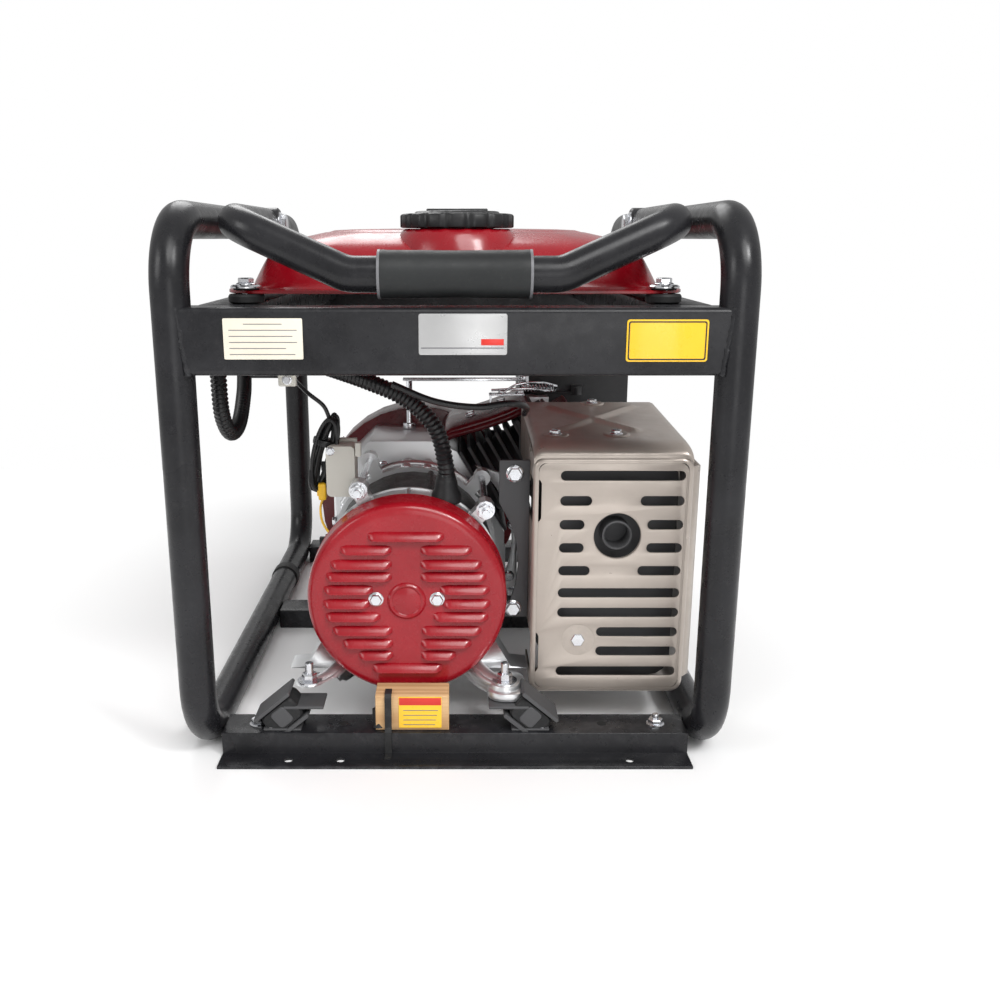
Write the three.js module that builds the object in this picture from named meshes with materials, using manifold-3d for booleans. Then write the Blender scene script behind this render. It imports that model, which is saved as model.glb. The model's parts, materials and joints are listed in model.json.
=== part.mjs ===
// Open-frame portable generator set: a tube frame that carries a fuel tank, a single-cylinder engine, the
// alternator that it turns, a boxed muffler and a control box. Millimetres, +Z up, the alternator end at -Y.
import * as THREE from "three";
import { mergeVertices } from "three/addons/utils/BufferGeometryUtils.js";
import Module from "manifold-3d";

const wasm = await Module();
wasm.setup();

// ---- Driving dimensions ----
const FRAME = { width: 540, length: 720, height: 540, tube: 35, bend: 62 };
const GAP = 0.3; // between pieces that touch
const HOOP_X = FRAME.width / 2 - FRAME.tube / 2; // centre plane of each side hoop
const HOOP_Y = FRAME.length / 2 - FRAME.tube / 2; // centre line of the end uprights
const HOOP_INNER = HOOP_X - FRAME.tube / 2;
const BEAM = { bottom: FRAME.height - 153, height: 60, depth: 40, wall: 2.5, inset: 3 };
const BEAM_TOP = BEAM.bottom + BEAM.height;
const RAIL = { height: 25, top: 42, lip: 27, sheet: 3 }; // pressed base rails
const TANK = {
  width: FRAME.width - 140, length: FRAME.length - 140,
  flange: 16, corner: 42, height: 56, wall: 2, shoulder: 60, crown: 30,
};
const LEDGE = { width: HOOP_INNER - TANK.width / 2 + 17, drop: 30, sheet: 3 }; // angle rails under the tank
const TANK_BOTTOM = BEAM_TOP + 9;
const TANK_TOP = TANK_BOTTOM + TANK.height + 3;
const CAP = { x: 2, y: 65 - TANK.length / 2, radius: 56, height: 16, lobes: 16, neck: 36 };
const HANDLE = {
  tube: 32, arm: FRAME.width / 2 - 68, pivotY: -140, z: FRAME.height - 19,
  gripY: 22 - FRAME.length / 2, gripZ: FRAME.height - 65,
};
const GRIP = { radius: 21, length: 137, ring: 4, ringRise: 1.2 };
const SHAFT = { x: -49, z: 150 }; // axis shared by alternator and crankshaft
const COVER = { radius: 102, front: -290, back: -252, wall: 2, bevel: 5, screw: 31, screwRise: 2 };
// Each louvre row of the end cover: its height above the axis, then how far to each side of the axis its two
// halves start and end.
const LOUVRE_ROWS = [
  [54, 14.5, 66], [39, 14.5, 76], [26, 14.5, 81], [12, 34, 84], [-3, 37, 85], [-17, 27, 83],
  [-32, 15, 76], [-46, 14.5, 66], [-59, 14.5, 50],
];
const MIDDLE_LOUVRES = [[68, 38], [-73, 36]]; // height above the axis, and half length
const LOUVRE = { rise: 4, drop: 6, mouth: 3, shoulder: 2 };
const BELL = { radius: 97, bore: 88, web: 8, webFront: -243, windowRing: 60, window: 20 };
const STATOR = { radius: 92, bore: 62, front: -205, back: -105, coilBore: 57, coil: 84, overhang: 17 };
const ROTOR = { radius: 54, shaft: 15, front: -240, slot: 14 };
const CRANK = { web: 34, weight: 46, throw: 22, pin: 12, tail: 57 };
const REGULATOR = { x: -120, z: 269, width: 30, height: 54, round: 5, front: -224, back: -192, foot: 122 };
const CYLINDER = { deck: 95, length: 80, width: 116, fins: 7, fin: 4, core: 44 };
const ENGINE = { front: -41, back: CYLINDER.width - 21, left: -150, floor: 66, top: 262 };
const BORE_Y = (ENGINE.front + ENGINE.back) / 2;
const TILT = THREE.MathUtils.degToRad(30); // cylinder axis above the horizontal
const FAN = { radius: 112, depth: 44, vanes: 12, bore: 15.3 };
const SHROUD = { radius: 135, depth: 64, wall: 3 };
const RECOIL = { radius: 116, depth: 42, wall: 3, slots: 10 };
const MUFFLER = { left: 92, right: 230, front: -262, back: -75, bottom: 50, top: 288, round: 22 };
const SHIELD = { left: 78, right: 240, front: -272, sheet: 2, bottom: 40, top: 295, flange: 60 };
const TAIL = { x: 165, z: 213, pipe: 15, hole: 24.5 };
const BOX = {
  outer: 14 - FRAME.width / 2, inner: 82 - FRAME.width / 2, front: -60, back: 290,
  bottom: BEAM_TOP - 102, top: BEAM_TOP - 7, wall: 2,
};

const MATERIALS = {
  frame: { color: 0x17181a, roughness: 0.38, metalness: 0.45 },
  red: { color: 0xb0101e, roughness: 0.3, metalness: 0.25 },
  darkRed: { color: 0x6e1219, roughness: 0.4, metalness: 0.25 },
  shield: { color: 0xc3b7a8, roughness: 0.38, metalness: 0.75 },
  casting: { color: 0xb9bbbd, roughness: 0.5, metalness: 0.8 },
  steel: { color: 0x8f9296, roughness: 0.35, metalness: 0.9 },
  zinc: { color: 0xc9ccd2, roughness: 0.3, metalness: 0.95 },
  heatBlack: { color: 0x1d1d1e, roughness: 0.6, metalness: 0.4 },
  rubber: { color: 0x202222, roughness: 0.85, metalness: 0 },
  plastic: { color: 0x1b1c1e, roughness: 0.55, metalness: 0 },
  grey: { color: 0xaaa596, roughness: 0.6, metalness: 0 },
  wood: { color: 0xcf9f67, roughness: 0.8, metalness: 0 },
  signal: { color: 0xd3202a, roughness: 0.45, metalness: 0 },
};

const group = new THREE.Group();
group.name = "portable_generator";

// ---- Solids ----
// A closed three.js geometry as a solid that can be joined and cut.
function solid(geometry) {
  const plain = geometry.clone();
  plain.deleteAttribute("normal");
  plain.deleteAttribute("uv");
  const merged = mergeVertices(plain, 1e-4);
  const mesh = new wasm.Mesh({
    numProp: 3,
    vertProperties: new Float32Array(merged.attributes.position.array),
    triVerts: new Uint32Array(merged.index.array),
  });
  return new wasm.Manifold(mesh);
}

// Names a solid, gives it a material and places it in the set.
function add(name, shape, material) {
  const made = shape.getMesh();
  const geometry = new THREE.BufferGeometry();
  geometry.setAttribute("position", new THREE.BufferAttribute(new Float32Array(made.vertProperties), 3));
  geometry.setIndex(new THREE.BufferAttribute(new Uint32Array(made.triVerts), 1));
  geometry.computeVertexNormals();
  const mesh = new THREE.Mesh(geometry, new THREE.MeshStandardMaterial(MATERIALS[material]));
  mesh.name = name;
  group.add(mesh);
  return shape;
}

// A box between two opposite corners.
function block(x0, x1, y0, y1, z0, z1) {
  const geometry = new THREE.BoxGeometry(x1 - x0, y1 - y0, z1 - z0);
  return solid(geometry.translate((x0 + x1) / 2, (y0 + y1) / 2, (z0 + z1) / 2));
}

// A round bar from one point to another, with a second radius where it tapers.
function bar(from, to, radius, sides = 12, endRadius = radius) {
  const start = new THREE.Vector3(...from);
  const along = new THREE.Vector3(...to).sub(start);
  const geometry = new THREE.CylinderGeometry(endRadius, radius, along.length(), sides);
  geometry.translate(0, along.length() / 2, 0);
  const turn = new THREE.Quaternion().setFromUnitVectors(new THREE.Vector3(0, 1, 0), along.normalize());
  geometry.applyQuaternion(turn);
  return solid(geometry.translate(start.x, start.y, start.z));
}

// A closed outline of [radius, y] points turned round the line x, z that runs along Y.
function turned(x, z, outline, sides = 40) {
  const points = outline.map(([radius, y]) => new THREE.Vector2(radius, y));
  if (THREE.ShapeUtils.area(points) < 0) points.reverse();
  points.push(points[0].clone());
  return solid(new THREE.LatheGeometry(points, sides).translate(x, 0, z));
}

// A flat outline made into a plate: "x" holds [y, z] points, "y" [x, z] points and "z" [x, y] points.
function plate(axis, outline, from, to, curveSegments = 2) {
  const isShape = outline instanceof THREE.Shape;
  const shape = isShape ? outline : new THREE.Shape(outline.map((p) => new THREE.Vector2(...p)));
  const geometry = new THREE.ExtrudeGeometry(
    shape, { depth: to - from, bevelEnabled: false, curveSegments },
  );
  if (axis === "x") geometry.applyMatrix4(new THREE.Matrix4().set(
    0, 0, 1, from, 1, 0, 0, 0, 0, 1, 0, 0, 0, 0, 0, 1,
  ));
  if (axis === "y") geometry.applyMatrix4(new THREE.Matrix4().set(
    1, 0, 0, 0, 0, 0, -1, to, 0, 1, 0, 0, 0, 0, 0, 1,
  ));
  if (axis === "z") geometry.translate(0, 0, from);
  return solid(geometry);
}

// A rectangle with round corners about a centre.
function roundedRectangle(cx, cy, width, height, radius) {
  const shape = new THREE.Shape();
  const [x, y] = [width / 2 - radius, height / 2 - radius];
  shape.absarc(cx + x, cy + y, radius, 0, Math.PI / 2);
  shape.absarc(cx - x, cy + y, radius, Math.PI / 2, Math.PI);
  shape.absarc(cx - x, cy - y, radius, Math.PI, Math.PI * 1.5);
  shape.absarc(cx + x, cy - y, radius, Math.PI * 1.5, Math.PI * 2);
  return shape;
}

function joined(shapes) {
  return shapes.reduce((all, next) => all.add(next));
}

function cut(shape, cutters) {
  return cutters.length ? shape.subtract(joined(cutters)) : shape;
}

// A route through corner points, each corner rounded off by an arc of about the bend radius.
class BentRoute extends THREE.Curve {
  constructor(corners, bend, perBend = 6) {
    super();
    const points = corners.map((c) => new THREE.Vector3(...c));
    this.stops = [points[0]];
    for (let i = 1; i < points.length - 1; i += 1) {
      const back = points[i - 1].clone().sub(points[i]).normalize();
      const on = points[i + 1].clone().sub(points[i]).normalize();
      const half = back.angleTo(on) / 2;
      const centre = points[i].clone().addScaledVector(
        back.clone().add(on).normalize(), bend / Math.sin(half),
      );
      const start = points[i].clone().addScaledVector(back, bend / Math.tan(half)).sub(centre);
      const end = points[i].clone().addScaledVector(on, bend / Math.tan(half)).sub(centre);
      const sweep = start.angleTo(end);
      for (let k = 0; k <= perBend; k += 1) {
        const t = k / perBend;
        const a = Math.sin((1 - t) * sweep) / Math.sin(sweep);
        const b = Math.sin(t * sweep) / Math.sin(sweep);
        this.stops.push(centre.clone().addScaledVector(start, a).addScaledVector(end, b));
      }
    }
    this.stops.push(points[points.length - 1]);
    this.steps = this.stops.length - 1;
  }
  getPoint(t) {
    const place = t * this.steps;
    const i = Math.min(Math.floor(place + 1e-9), this.steps - 1);
    return this.stops[i].clone().lerp(this.stops[i + 1], place - i);
  }
  getPointAt(u) {
    return this.getPoint(u);
  }
  getTangentAt(u) {
    const i = Math.round(u * this.steps);
    const before = this.stops[Math.max(i, 1)].clone().sub(this.stops[Math.max(i, 1) - 1]).normalize();
    const last = Math.min(i + 1, this.steps);
    const after = this.stops[last].clone().sub(this.stops[last - 1]).normalize();
    return before.add(after).normalize();
  }
}

function sweep(route, steps, radius, sides) {
  const ring = new THREE.Shape();
  ring.absarc(0, 0, radius, 0, Math.PI * 2);
  const settings = { steps, bevelEnabled: false, extrudePath: route, curveSegments: sides / 2 };
  return solid(new THREE.ExtrudeGeometry(ring, settings));
}

function bentTube(corners, bend, radius, sides = 12, perBend = 5) {
  const route = new BentRoute(corners, bend, perBend);
  return sweep(route, route.steps, radius, sides);
}

// ---- Frame ----
function hoop(side) {
  const x = side * HOOP_X;
  const [low, high] = [FRAME.tube / 2, FRAME.height - FRAME.tube / 2];
  const radius = FRAME.tube / 2;
  const halves = [-1, 1].map((end) => {
    const far = -end; // each half runs a little past the middle so that the two join
    return bentTube(
      [[x, far, low], [x, end * HOOP_Y, low], [x, end * HOOP_Y, high], [x, far, high]], FRAME.bend,
      radius,
    );
  });
  const lug = plate(
    "x",
    [[-18, 0], [-18, -22], [18, -22], [18, 0]].map(([y, z]) => [HANDLE.pivotY + y, HANDLE.z + 12 + z]), 0,
    5,
  );
  const lugX = side > 0 ? HANDLE.arm + HANDLE.tube / 2 + 4 : -HANDLE.arm - HANDLE.tube / 2 - 9;
  const arm = block(
    Math.min(lugX, x), Math.max(lugX + 5, x), HANDLE.pivotY - 18, HANDLE.pivotY + 18, HANDLE.z - 10,
    HANDLE.z + 12,
  );
  const pinHole = bar([x - 60, HANDLE.pivotY, HANDLE.z], [x + 60, HANDLE.pivotY, HANDLE.z], 5.5);
  return joined([...halves, cut(joined([lug.translate(lugX, 0, 0), arm]), [pinHole])]);
}

function crossBeam(end) {
  const front = end < 0 ? -FRAME.length / 2 + BEAM.inset : FRAME.length / 2 - BEAM.inset - BEAM.depth;
  const reach = HOOP_INNER + 8;
  const outer = block(-reach, reach, front, front + BEAM.depth, BEAM.bottom, BEAM_TOP);
  const w = BEAM.wall;
  const inner = block(
    -reach - 1, reach + 1, front + w, front + BEAM.depth - w, BEAM.bottom + w, BEAM_TOP - w,
  );
  const uprights = [-1, 1].map((side) => {
    const [x, y] = [side * HOOP_X, end * HOOP_Y];
    return bar([x, y, BEAM.bottom - 5], [x, y, BEAM_TOP + 5], FRAME.tube / 2 + GAP, 20);
  });
  return cut(outer, [inner, ...uprights]);
}

// A pressed channel across the frame; the end ones have a lip that lies on the floor and takes floor bolts.
function baseRail(centre, lipSide, holes) {
  const reach = HOOP_INNER - 0.5;
  const half = RAIL.top / 2;
  const s = RAIL.sheet;
  const top = block(-reach, reach, centre - half, centre + half, RAIL.height - s, RAIL.height);
  const walls = [-1, 1].map((side) => {
    const y = centre + side * (half - s / 2);
    return block(-reach, reach, y - s / 2, y + s / 2, 0, RAIL.height);
  });
  const parts = [top, ...walls];
  if (lipSide) {
    const edges = [
      centre + lipSide * (half - s), centre + lipSide * (half + RAIL.lip),
    ].sort((a, b) => a - b);
    parts.push(block(-reach, reach, edges[0], edges[1], 0, s));
  }
  const lipY = centre + lipSide * (half + RAIL.lip / 2);
  const cutters = holes.map((x) => bar([x, lipY, -1], [x, lipY, s + 1], 4.5, 12));
  return cut(joined(parts), cutters);
}

// Angle rails that the tank's rubber mounts stand on.
function ledge(side) {
  const outer = HOOP_INNER - 0.5;
  const inner = outer - LEDGE.width;
  const reach = FRAME.length / 2 - BEAM.inset - BEAM.depth - GAP;
  const s = LEDGE.sheet;
  const outline = [
    [inner, BEAM_TOP - LEDGE.drop], [inner + s, BEAM_TOP - LEDGE.drop], [inner + s, BEAM_TOP - s],
    [outer, BEAM_TOP - s], [outer, BEAM_TOP], [inner, BEAM_TOP],
  ];
  const placed = outline.map(([x, z]) => [side * x, z]);
  return plate("y", side > 0 ? placed : placed.reverse(), -reach, reach);
}

add("hoop_left", hoop(-1), "frame");
add("hoop_right", hoop(1), "frame");
add("beam_front", crossBeam(-1), "frame");
add("beam_rear", crossBeam(1), "frame");
add("tank_rail_left", ledge(-1), "frame");
add("tank_rail_right", ledge(1), "frame");
const END_RAIL = FRAME.length / 2 - RAIL.lip - RAIL.top / 2;
const ENGINE_RAIL = 30;
const LIP_HOLES = [-166, -114, 174];
add("base_rail_front", baseRail(-END_RAIL, -1, LIP_HOLES), "frame");
add("base_rail_engine", baseRail(ENGINE_RAIL, 0, []), "frame");
add("base_rail_rear", baseRail(END_RAIL, 1, LIP_HOLES), "frame");

// ---- Tank, cap and tank mounts ----
// The domed upper shell as a block: an outline inset by the shoulder, with its upper edge rounded off over
// the crown.
function tankBody(shrink, floor) {
  const width = TANK.width - 2 * shrink;
  const length = TANK.length - 2 * shrink;
  const outline = roundedRectangle(0, 0, width - 2 * TANK.shoulder, length - 2 * TANK.shoulder, 12);
  const settings = {
    depth: 1,
    bevelThickness: TANK.crown,
    bevelSize: TANK.shoulder,
    bevelSegments: 6,
    curveSegments: 2,
  };
  const dome = solid(new THREE.ExtrudeGeometry(outline, settings).translate(
    0, 0, TANK_TOP - shrink - TANK.crown - 1,
  ));
  const mid = TANK_TOP - shrink - TANK.crown - 0.5;
  const upper = dome.intersect(block(-300, 300, -400, 400, mid, TANK_TOP + 5));
  const side = plate("z", roundedRectangle(0, 0, width, length, TANK.shoulder + 12), floor, mid + 0.01);
  return joined([upper, side]);
}

const TANK_BOLT = { x: TANK.width / 2 - 6, y: TANK.length / 2 + 6 };
const CORNERS = [
  ["front_left", -1, -1], ["front_right", 1, -1], ["rear_left", -1, 1], ["rear_right", 1, 1],
];
const neck = bar([CAP.x, CAP.y, TANK_TOP - 10], [CAP.x, CAP.y, TANK_TOP + 10], CAP.neck, 20);
const flange = plate(
  "z", roundedRectangle(0, 0, TANK.width + 2 * TANK.flange, TANK.length + 2 * TANK.flange, TANK.corner),
  TANK_BOTTOM, TANK_BOTTOM + 3,
);
const tankShell = cut(
  joined([tankBody(0, TANK_BOTTOM), flange]), [tankBody(TANK.wall, TANK_BOTTOM + TANK.wall), neck],
);
// A hole for each mount's screw, and room for its washer beside the shell.
const mountRooms = CORNERS.flatMap(([, sx, sy]) => {
  const [x, y] = [sx * TANK_BOLT.x, sy * TANK_BOLT.y];
  const hole = bar([x, y, BEAM_TOP - 7], [x, y, TANK_BOTTOM + 4], 5.5, 8);
  return [hole, bar([x, y, TANK_BOTTOM + 3.01], [x, y, TANK_BOTTOM + 40], 15, 12)];
});
add("fuel_tank", cut(tankShell, mountRooms), "red");

// A knurled cap with a plug that sits down in the filler neck.
function fuelCap() {
  const base = TANK_TOP + GAP;
  const rim = bar([CAP.x, CAP.y, base], [CAP.x, CAP.y, base + CAP.height - 4], CAP.radius, 32);
  const dome = bar(
    [CAP.x, CAP.y, base + CAP.height - 5], [CAP.x, CAP.y, base + CAP.height], CAP.radius - 3, 40,
    CAP.radius - 8,
  );
  const plug = bar([CAP.x, CAP.y, base - 9], [CAP.x, CAP.y, base + 1], CAP.neck - 2.5, 20);
  const flutes = Array.from({ length: CAP.lobes }, (_, i) => {
    const turn = (i / CAP.lobes) * Math.PI * 2;
    const x = CAP.x + (CAP.radius + 1.5) * Math.cos(turn);
    const y = CAP.y + (CAP.radius + 1.5) * Math.sin(turn);
    return bar([x, y, base - 1], [x, y, base + CAP.height + 1], 4, 8);
  });
  return cut(joined([rim, dome, plug]), flutes);
}
add("fuel_cap", fuelCap(), "plastic");

// A bonded rubber buffer on the rail with the screw that runs up through the tank's flange.
function tankMount(sx, sy) {
  const [x, y] = [sx * TANK_BOLT.x, sy * TANK_BOLT.y];
  const rubber = bar([x, y, BEAM_TOP + GAP], [x, y, TANK_BOTTOM - GAP], 15, 12);
  const shank = bar([x, y, BEAM_TOP + 1], [x, y, TANK_BOTTOM + 5], 4, 8);
  const washer = bar([x, y, TANK_BOTTOM + 3 + GAP], [x, y, TANK_BOTTOM + 5.5], 13, 12);
  const head = bar([x, y, TANK_BOTTOM + 5], [x, y, TANK_BOTTOM + 11], 7.5, 6);
  return joined([rubber, shank, washer, head]);
}
CORNERS.forEach(([name, sx, sy]) => add("tank_mount_" + name, tankMount(sx, sy), "zinc"));

// ---- Folding handle ----
const ARM = { dropX: 96, cornerX: HANDLE.arm, cornerY: HANDLE.gripY + 22 };
const handleRoute = [
  [-ARM.cornerX, HANDLE.pivotY, HANDLE.z],
  [-ARM.cornerX, ARM.cornerY, HANDLE.z],
  [-ARM.dropX, HANDLE.gripY, HANDLE.gripZ],
  [ARM.dropX, HANDLE.gripY, HANDLE.gripZ],
  [ARM.cornerX, ARM.cornerY, HANDLE.z],
  [ARM.cornerX, HANDLE.pivotY, HANDLE.z],
];
const handleTube = bentTube(handleRoute, 34, HANDLE.tube / 2, 12, 4);
const pins = [-1, 1].map((side) => {
  const inner = HANDLE.arm - 4;
  return bar(
    [side * inner, HANDLE.pivotY, HANDLE.z],
    [side * (HANDLE.arm + HANDLE.tube / 2 + 11), HANDLE.pivotY, HANDLE.z], 5, 16,
  );
});
const ends = [-1, 1].map((side) => {
  const x = side * ARM.cornerX;
  return bar(
    [x - HANDLE.tube / 2, HANDLE.pivotY, HANDLE.z], [x + HANDLE.tube / 2, HANDLE.pivotY, HANDLE.z],
    HANDLE.tube / 2, 16,
  );
});
add("handle_bar", joined([handleTube, ...ends, ...pins]), "frame");

function handleGrip() {
  const half = GRIP.length / 2;
  const [y, z] = [HANDLE.gripY, HANDLE.gripZ];
  const sleeve = bar([-half, y, z], [half, y, z], GRIP.radius, 20);
  const rings = [-1, 1].map((side) => {
    const outer = side * (half - 1);
    return bar([outer - side * GRIP.ring, y, z], [outer, y, z], GRIP.radius + GRIP.ringRise, 20);
  });
  const core = bar([-half - 1, y, z], [half + 1, y, z], HANDLE.tube / 2 + GAP, 20);
  return cut(joined([sleeve, ...rings]), [core]);
}
add("handle_grip", handleGrip(), "rubber");

// ---- Alternator ----
const { x: AX, z: AZ } = SHAFT;

// The dished end cover with raised louvre hoods, a centre boss and two holes for its screws.
function endCover() {
  const { radius: r, front, back, wall: w, bevel } = COVER;
  const outer = [
    [0, front], [r - bevel - 4, front], [r - 3, front + bevel * 0.7], [r, front + bevel], [r, back],
    [r - w, back],
  ];
  const inner = [[r - w, front + bevel + 1], [r - bevel - 5, front + w], [0, front + w]];
  const shell = turned(AX, AZ, [...outer, ...inner], 32);
  const boss = bar([AX, front - 3, AZ], [AX, front + 1, AZ], 17, 24, 19);
  const hoods = [];
  const slots = [];
  const louvre = (x0, x1, z) => {
    const lip = z - 1;
    hoods.push(plate(
      "x", [[front + 1, lip], [front - LOUVRE.rise, lip], [front + 1, z + LOUVRE.drop]], x0, x1,
    ));
    const [low, high] = [lip - LOUVRE.mouth - 0.5, lip - 0.5];
    slots.push(block(x0 + LOUVRE.shoulder, x1 - LOUVRE.shoulder, front - 5, front + w + 1, low, high));
  };
  MIDDLE_LOUVRES.forEach(([z, half]) => louvre(AX - half, AX + half, AZ + z));
  LOUVRE_ROWS.forEach(([z, near, far]) => {
    louvre(AX - far, AX - near, AZ + z);
    louvre(AX + near, AX + far, AZ + z);
  });
  const screwHoles = [-1, 1].map((side) => {
    const [x, z] = [AX + side * COVER.screw, AZ + COVER.screwRise];
    return bar([x, front - 5, z], [x, front + 10, z], 4, 12);
  });
  return cut(joined([shell, boss, ...hoods]), [...slots, ...screwHoles]);
}
add("alternator_cover", endCover(), "red");

const LUG = { radius: 116, size: 10, angles: [116, 46] };
function lugAt(angle, radius) {
  const turn = THREE.MathUtils.degToRad(angle);
  return [AX + radius * Math.cos(turn), AZ + radius * Math.sin(turn)];
}
function lugs(y0, y1) {
  return LUG.angles.map((angle) => {
    const [x, z] = lugAt(angle, LUG.radius);
    const [ix, iz] = lugAt(angle, BELL.radius - 3);
    const eye = bar([x, y0, z], [x, y1, z], LUG.size, 10);
    const [dx, dz] = [(z - iz) / 3, (ix - x) / 3];
    const web = plate(
      "y", [[ix - dx, iz - dz], [x - dx, z - dz], [x + dx, z + dz], [ix + dx, iz + dz]].reverse(), y0, y1,
    );
    return joined([eye, web]);
  });
}
const studHoles = LUG.angles.map((angle) => {
  const [x, z] = lugAt(angle, LUG.radius);
  return bar([x, -270, z], [x, -50, z], 4.5, 8);
});

// End casting: a ring with a spoked web, a bearing hub, stud lugs and the two feet.
const FOOT = { x: 100, z: 52, thick: 12, width: 52, front: -END_RAIL - 10, back: -262 };
function rearBell() {
  const [front, back] = [COVER.back + GAP, STATOR.front - GAP];
  const ring = turned(
    AX, AZ, [[BELL.bore, front], [BELL.radius, front], [BELL.radius, back], [BELL.bore, back]], 32,
  );
  const [webFront, webBack] = [BELL.webFront, BELL.webFront + BELL.web];
  const hub = { bore: 18, radius: 30, back: webBack + 9 };
  const web = turned(
    AX, AZ,
    [
      [hub.bore, webFront], [BELL.bore + 2, webFront], [BELL.bore + 2, webBack], [hub.radius, webBack],
      [hub.radius, hub.back], [hub.bore, hub.back],
    ],
    32,
  );
  const windows = Array.from({ length: 6 }, (_, i) => {
    const [x, z] = lugAt(i * 60 + 30, BELL.windowRing);
    return bar([x, webFront - 7, z], [x, webBack + 5, z], BELL.window, 10);
  });
  const feet = [-1, 1].map((side) => {
    const outline = [
      [side * 58, -62], [side * 76, -98], [side * 126, -98], [side * 126, -86], [side * 108, -84],
      [side * 86, -46],
    ];
    const placed = outline.map(([x, z]) => [AX + x, AZ + z]);
    const leg = plate("y", side < 0 ? placed : placed.reverse(), -262, -228);
    const pad = block(
      AX + side * FOOT.x - FOOT.width / 2, AX + side * FOOT.x + FOOT.width / 2, FOOT.front, FOOT.back + 2,
      FOOT.z, FOOT.z + FOOT.thick,
    );
    const bolt = bar([AX + side * FOOT.x, -300, 40], [AX + side * FOOT.x, -300, 70], 5.5, 12);
    return cut(joined([leg, pad]), [bolt]);
  });
  const coverRoom = bar([AX, -330, AZ], [AX, COVER.back, AZ], COVER.radius + 1.5, 32);
  return cut(
    joined([ring, cut(web, windows), ...feet.map((f) => cut(f, [coverRoom])), ...lugs(-246, -226)]),
    studHoles,
  );
}
add("alternator_rear_bell", rearBell(), "casting");

function stator() {
  const body = turned(
    AX, AZ,
    [
      [STATOR.bore, STATOR.front], [STATOR.radius, STATOR.front], [STATOR.radius, STATOR.back],
      [STATOR.bore, STATOR.back],
    ],
    32,
  );
  const keys = Array.from({ length: 4 }, (_, i) => {
    const [x, z] = lugAt(i * 90 + 77, STATOR.radius);
    return bar([x, STATOR.front, z], [x, STATOR.back, z], 3.5, 8);
  });
  const [coilFront, coilBack] = [STATOR.front - STATOR.overhang, STATOR.back + STATOR.overhang];
  const { coilBore, coil } = STATOR;
  const winding = turned(
    AX, AZ, [[coilBore, coilFront], [coil, coilFront], [coil, coilBack], [coilBore, coilBack]], 32,
  );
  return joined([body, winding, ...keys]);
}
add("stator", stator(), "heatBlack");

function frontBell() {
  const [front, back] = [STATOR.back + GAP, ENGINE.front - GAP];
  const outline = [
    [BELL.bore, front], [BELL.radius, front], [BELL.radius, front + 22], [86, back - 8], [86, back],
    [70, back], [70, back - 8], [BELL.bore, front + 24],
  ];
  const shell = turned(AX, AZ, outline, 32);
  const windows = [-150, -30].map((angle) => {
    const [x, z] = lugAt(angle, 92);
    return bar([x, front + 24, z], [x, back - 10, z], 16, 8);
  });
  const studs = LUG.angles.map((angle) => {
    const [x, z] = lugAt(angle, LUG.radius);
    const shank = bar([x, -262, z], [x, front + 2, z], 4, 8);
    return joined([shank, bar([x, -255, z], [x, -246 - GAP, z], 8, 6)]);
  });
  return joined([cut(joined([shell, ...lugs(front, front + 16)]), windows), ...studs]);
}
add("alternator_front_bell", frontBell(), "casting");

function regulatorCover() {
  const { x, z, width, height, round, front, back } = REGULATOR;
  const body = plate("y", roundedRectangle(x, z, width, height, round), front, back);
  const lip = block(
    x - width / 2 - 3, x + width / 2, back - 4, back + 2, z - height / 2 - 1, z + height / 2 + 3,
  );
  const [nearX, nearZ] = lugAt(REGULATOR.foot, BELL.radius + GAP);
  const [farX, farZ] = lugAt(REGULATOR.foot, BELL.radius + 17);
  const foot = bar([nearX, front + 12, nearZ], [farX, front + 12, farZ], 4);
  return joined([body, lip, foot]);
}
add("regulator_cover", regulatorCover(), "grey");

// ---- Rotating shaft: rotor, crankshaft and fan ----
function rotor() {
  const { radius: r, shaft, front, slot } = ROTOR;
  const [coreFront, coreBack, end] = [STATOR.front - 7, STATOR.back + 7, ENGINE.front + 8];
  const core = turned(
    AX, AZ,
    [
      [0, front], [shaft, front], [shaft, coreFront - 3], [r, coreFront], [r, coreBack],
      [shaft, coreBack + 3], [shaft, end], [0, end],
    ],
    32,
  );
  const slots = [0, 1, 2, 3].map((i) => {
    const [x, z] = lugAt(i * 90 + 20, r);
    return block(x - slot / 2, x + slot / 2, coreFront - 8, coreBack + 8, z - slot / 2, z + slot / 2);
  });
  return cut(core, slots);
}
add("rotor", rotor(), "steel");

function crankshaft() {
  const start = ENGINE.front + 8 + GAP;
  const journal = ROTOR.shaft;
  const ends = [
    bar([AX, start, AZ], [AX, BORE_Y - 24, AZ], journal, 20),
    bar([AX, BORE_Y + 24, AZ], [AX, ENGINE.back + CRANK.tail, AZ], journal, 24, journal - 2),
  ];
  const webs = [-1, 1].map((side) => {
    const y = BORE_Y + side * 20;
    const disc = bar([AX, y - 7, AZ], [AX, y + 7, AZ], CRANK.web, 20);
    return joined([disc, block(AX - 24, AX + 24, y - 7, y + 7, AZ - CRANK.weight, AZ)]);
  });
  const pinZ = AZ + CRANK.throw;
  const pin = bar([AX, BORE_Y - 22, pinZ], [AX, BORE_Y + 22, pinZ], CRANK.pin, 16);
  return joined([...ends, ...webs, pin]);
}
add("crankshaft", crankshaft(), "steel");

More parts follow.
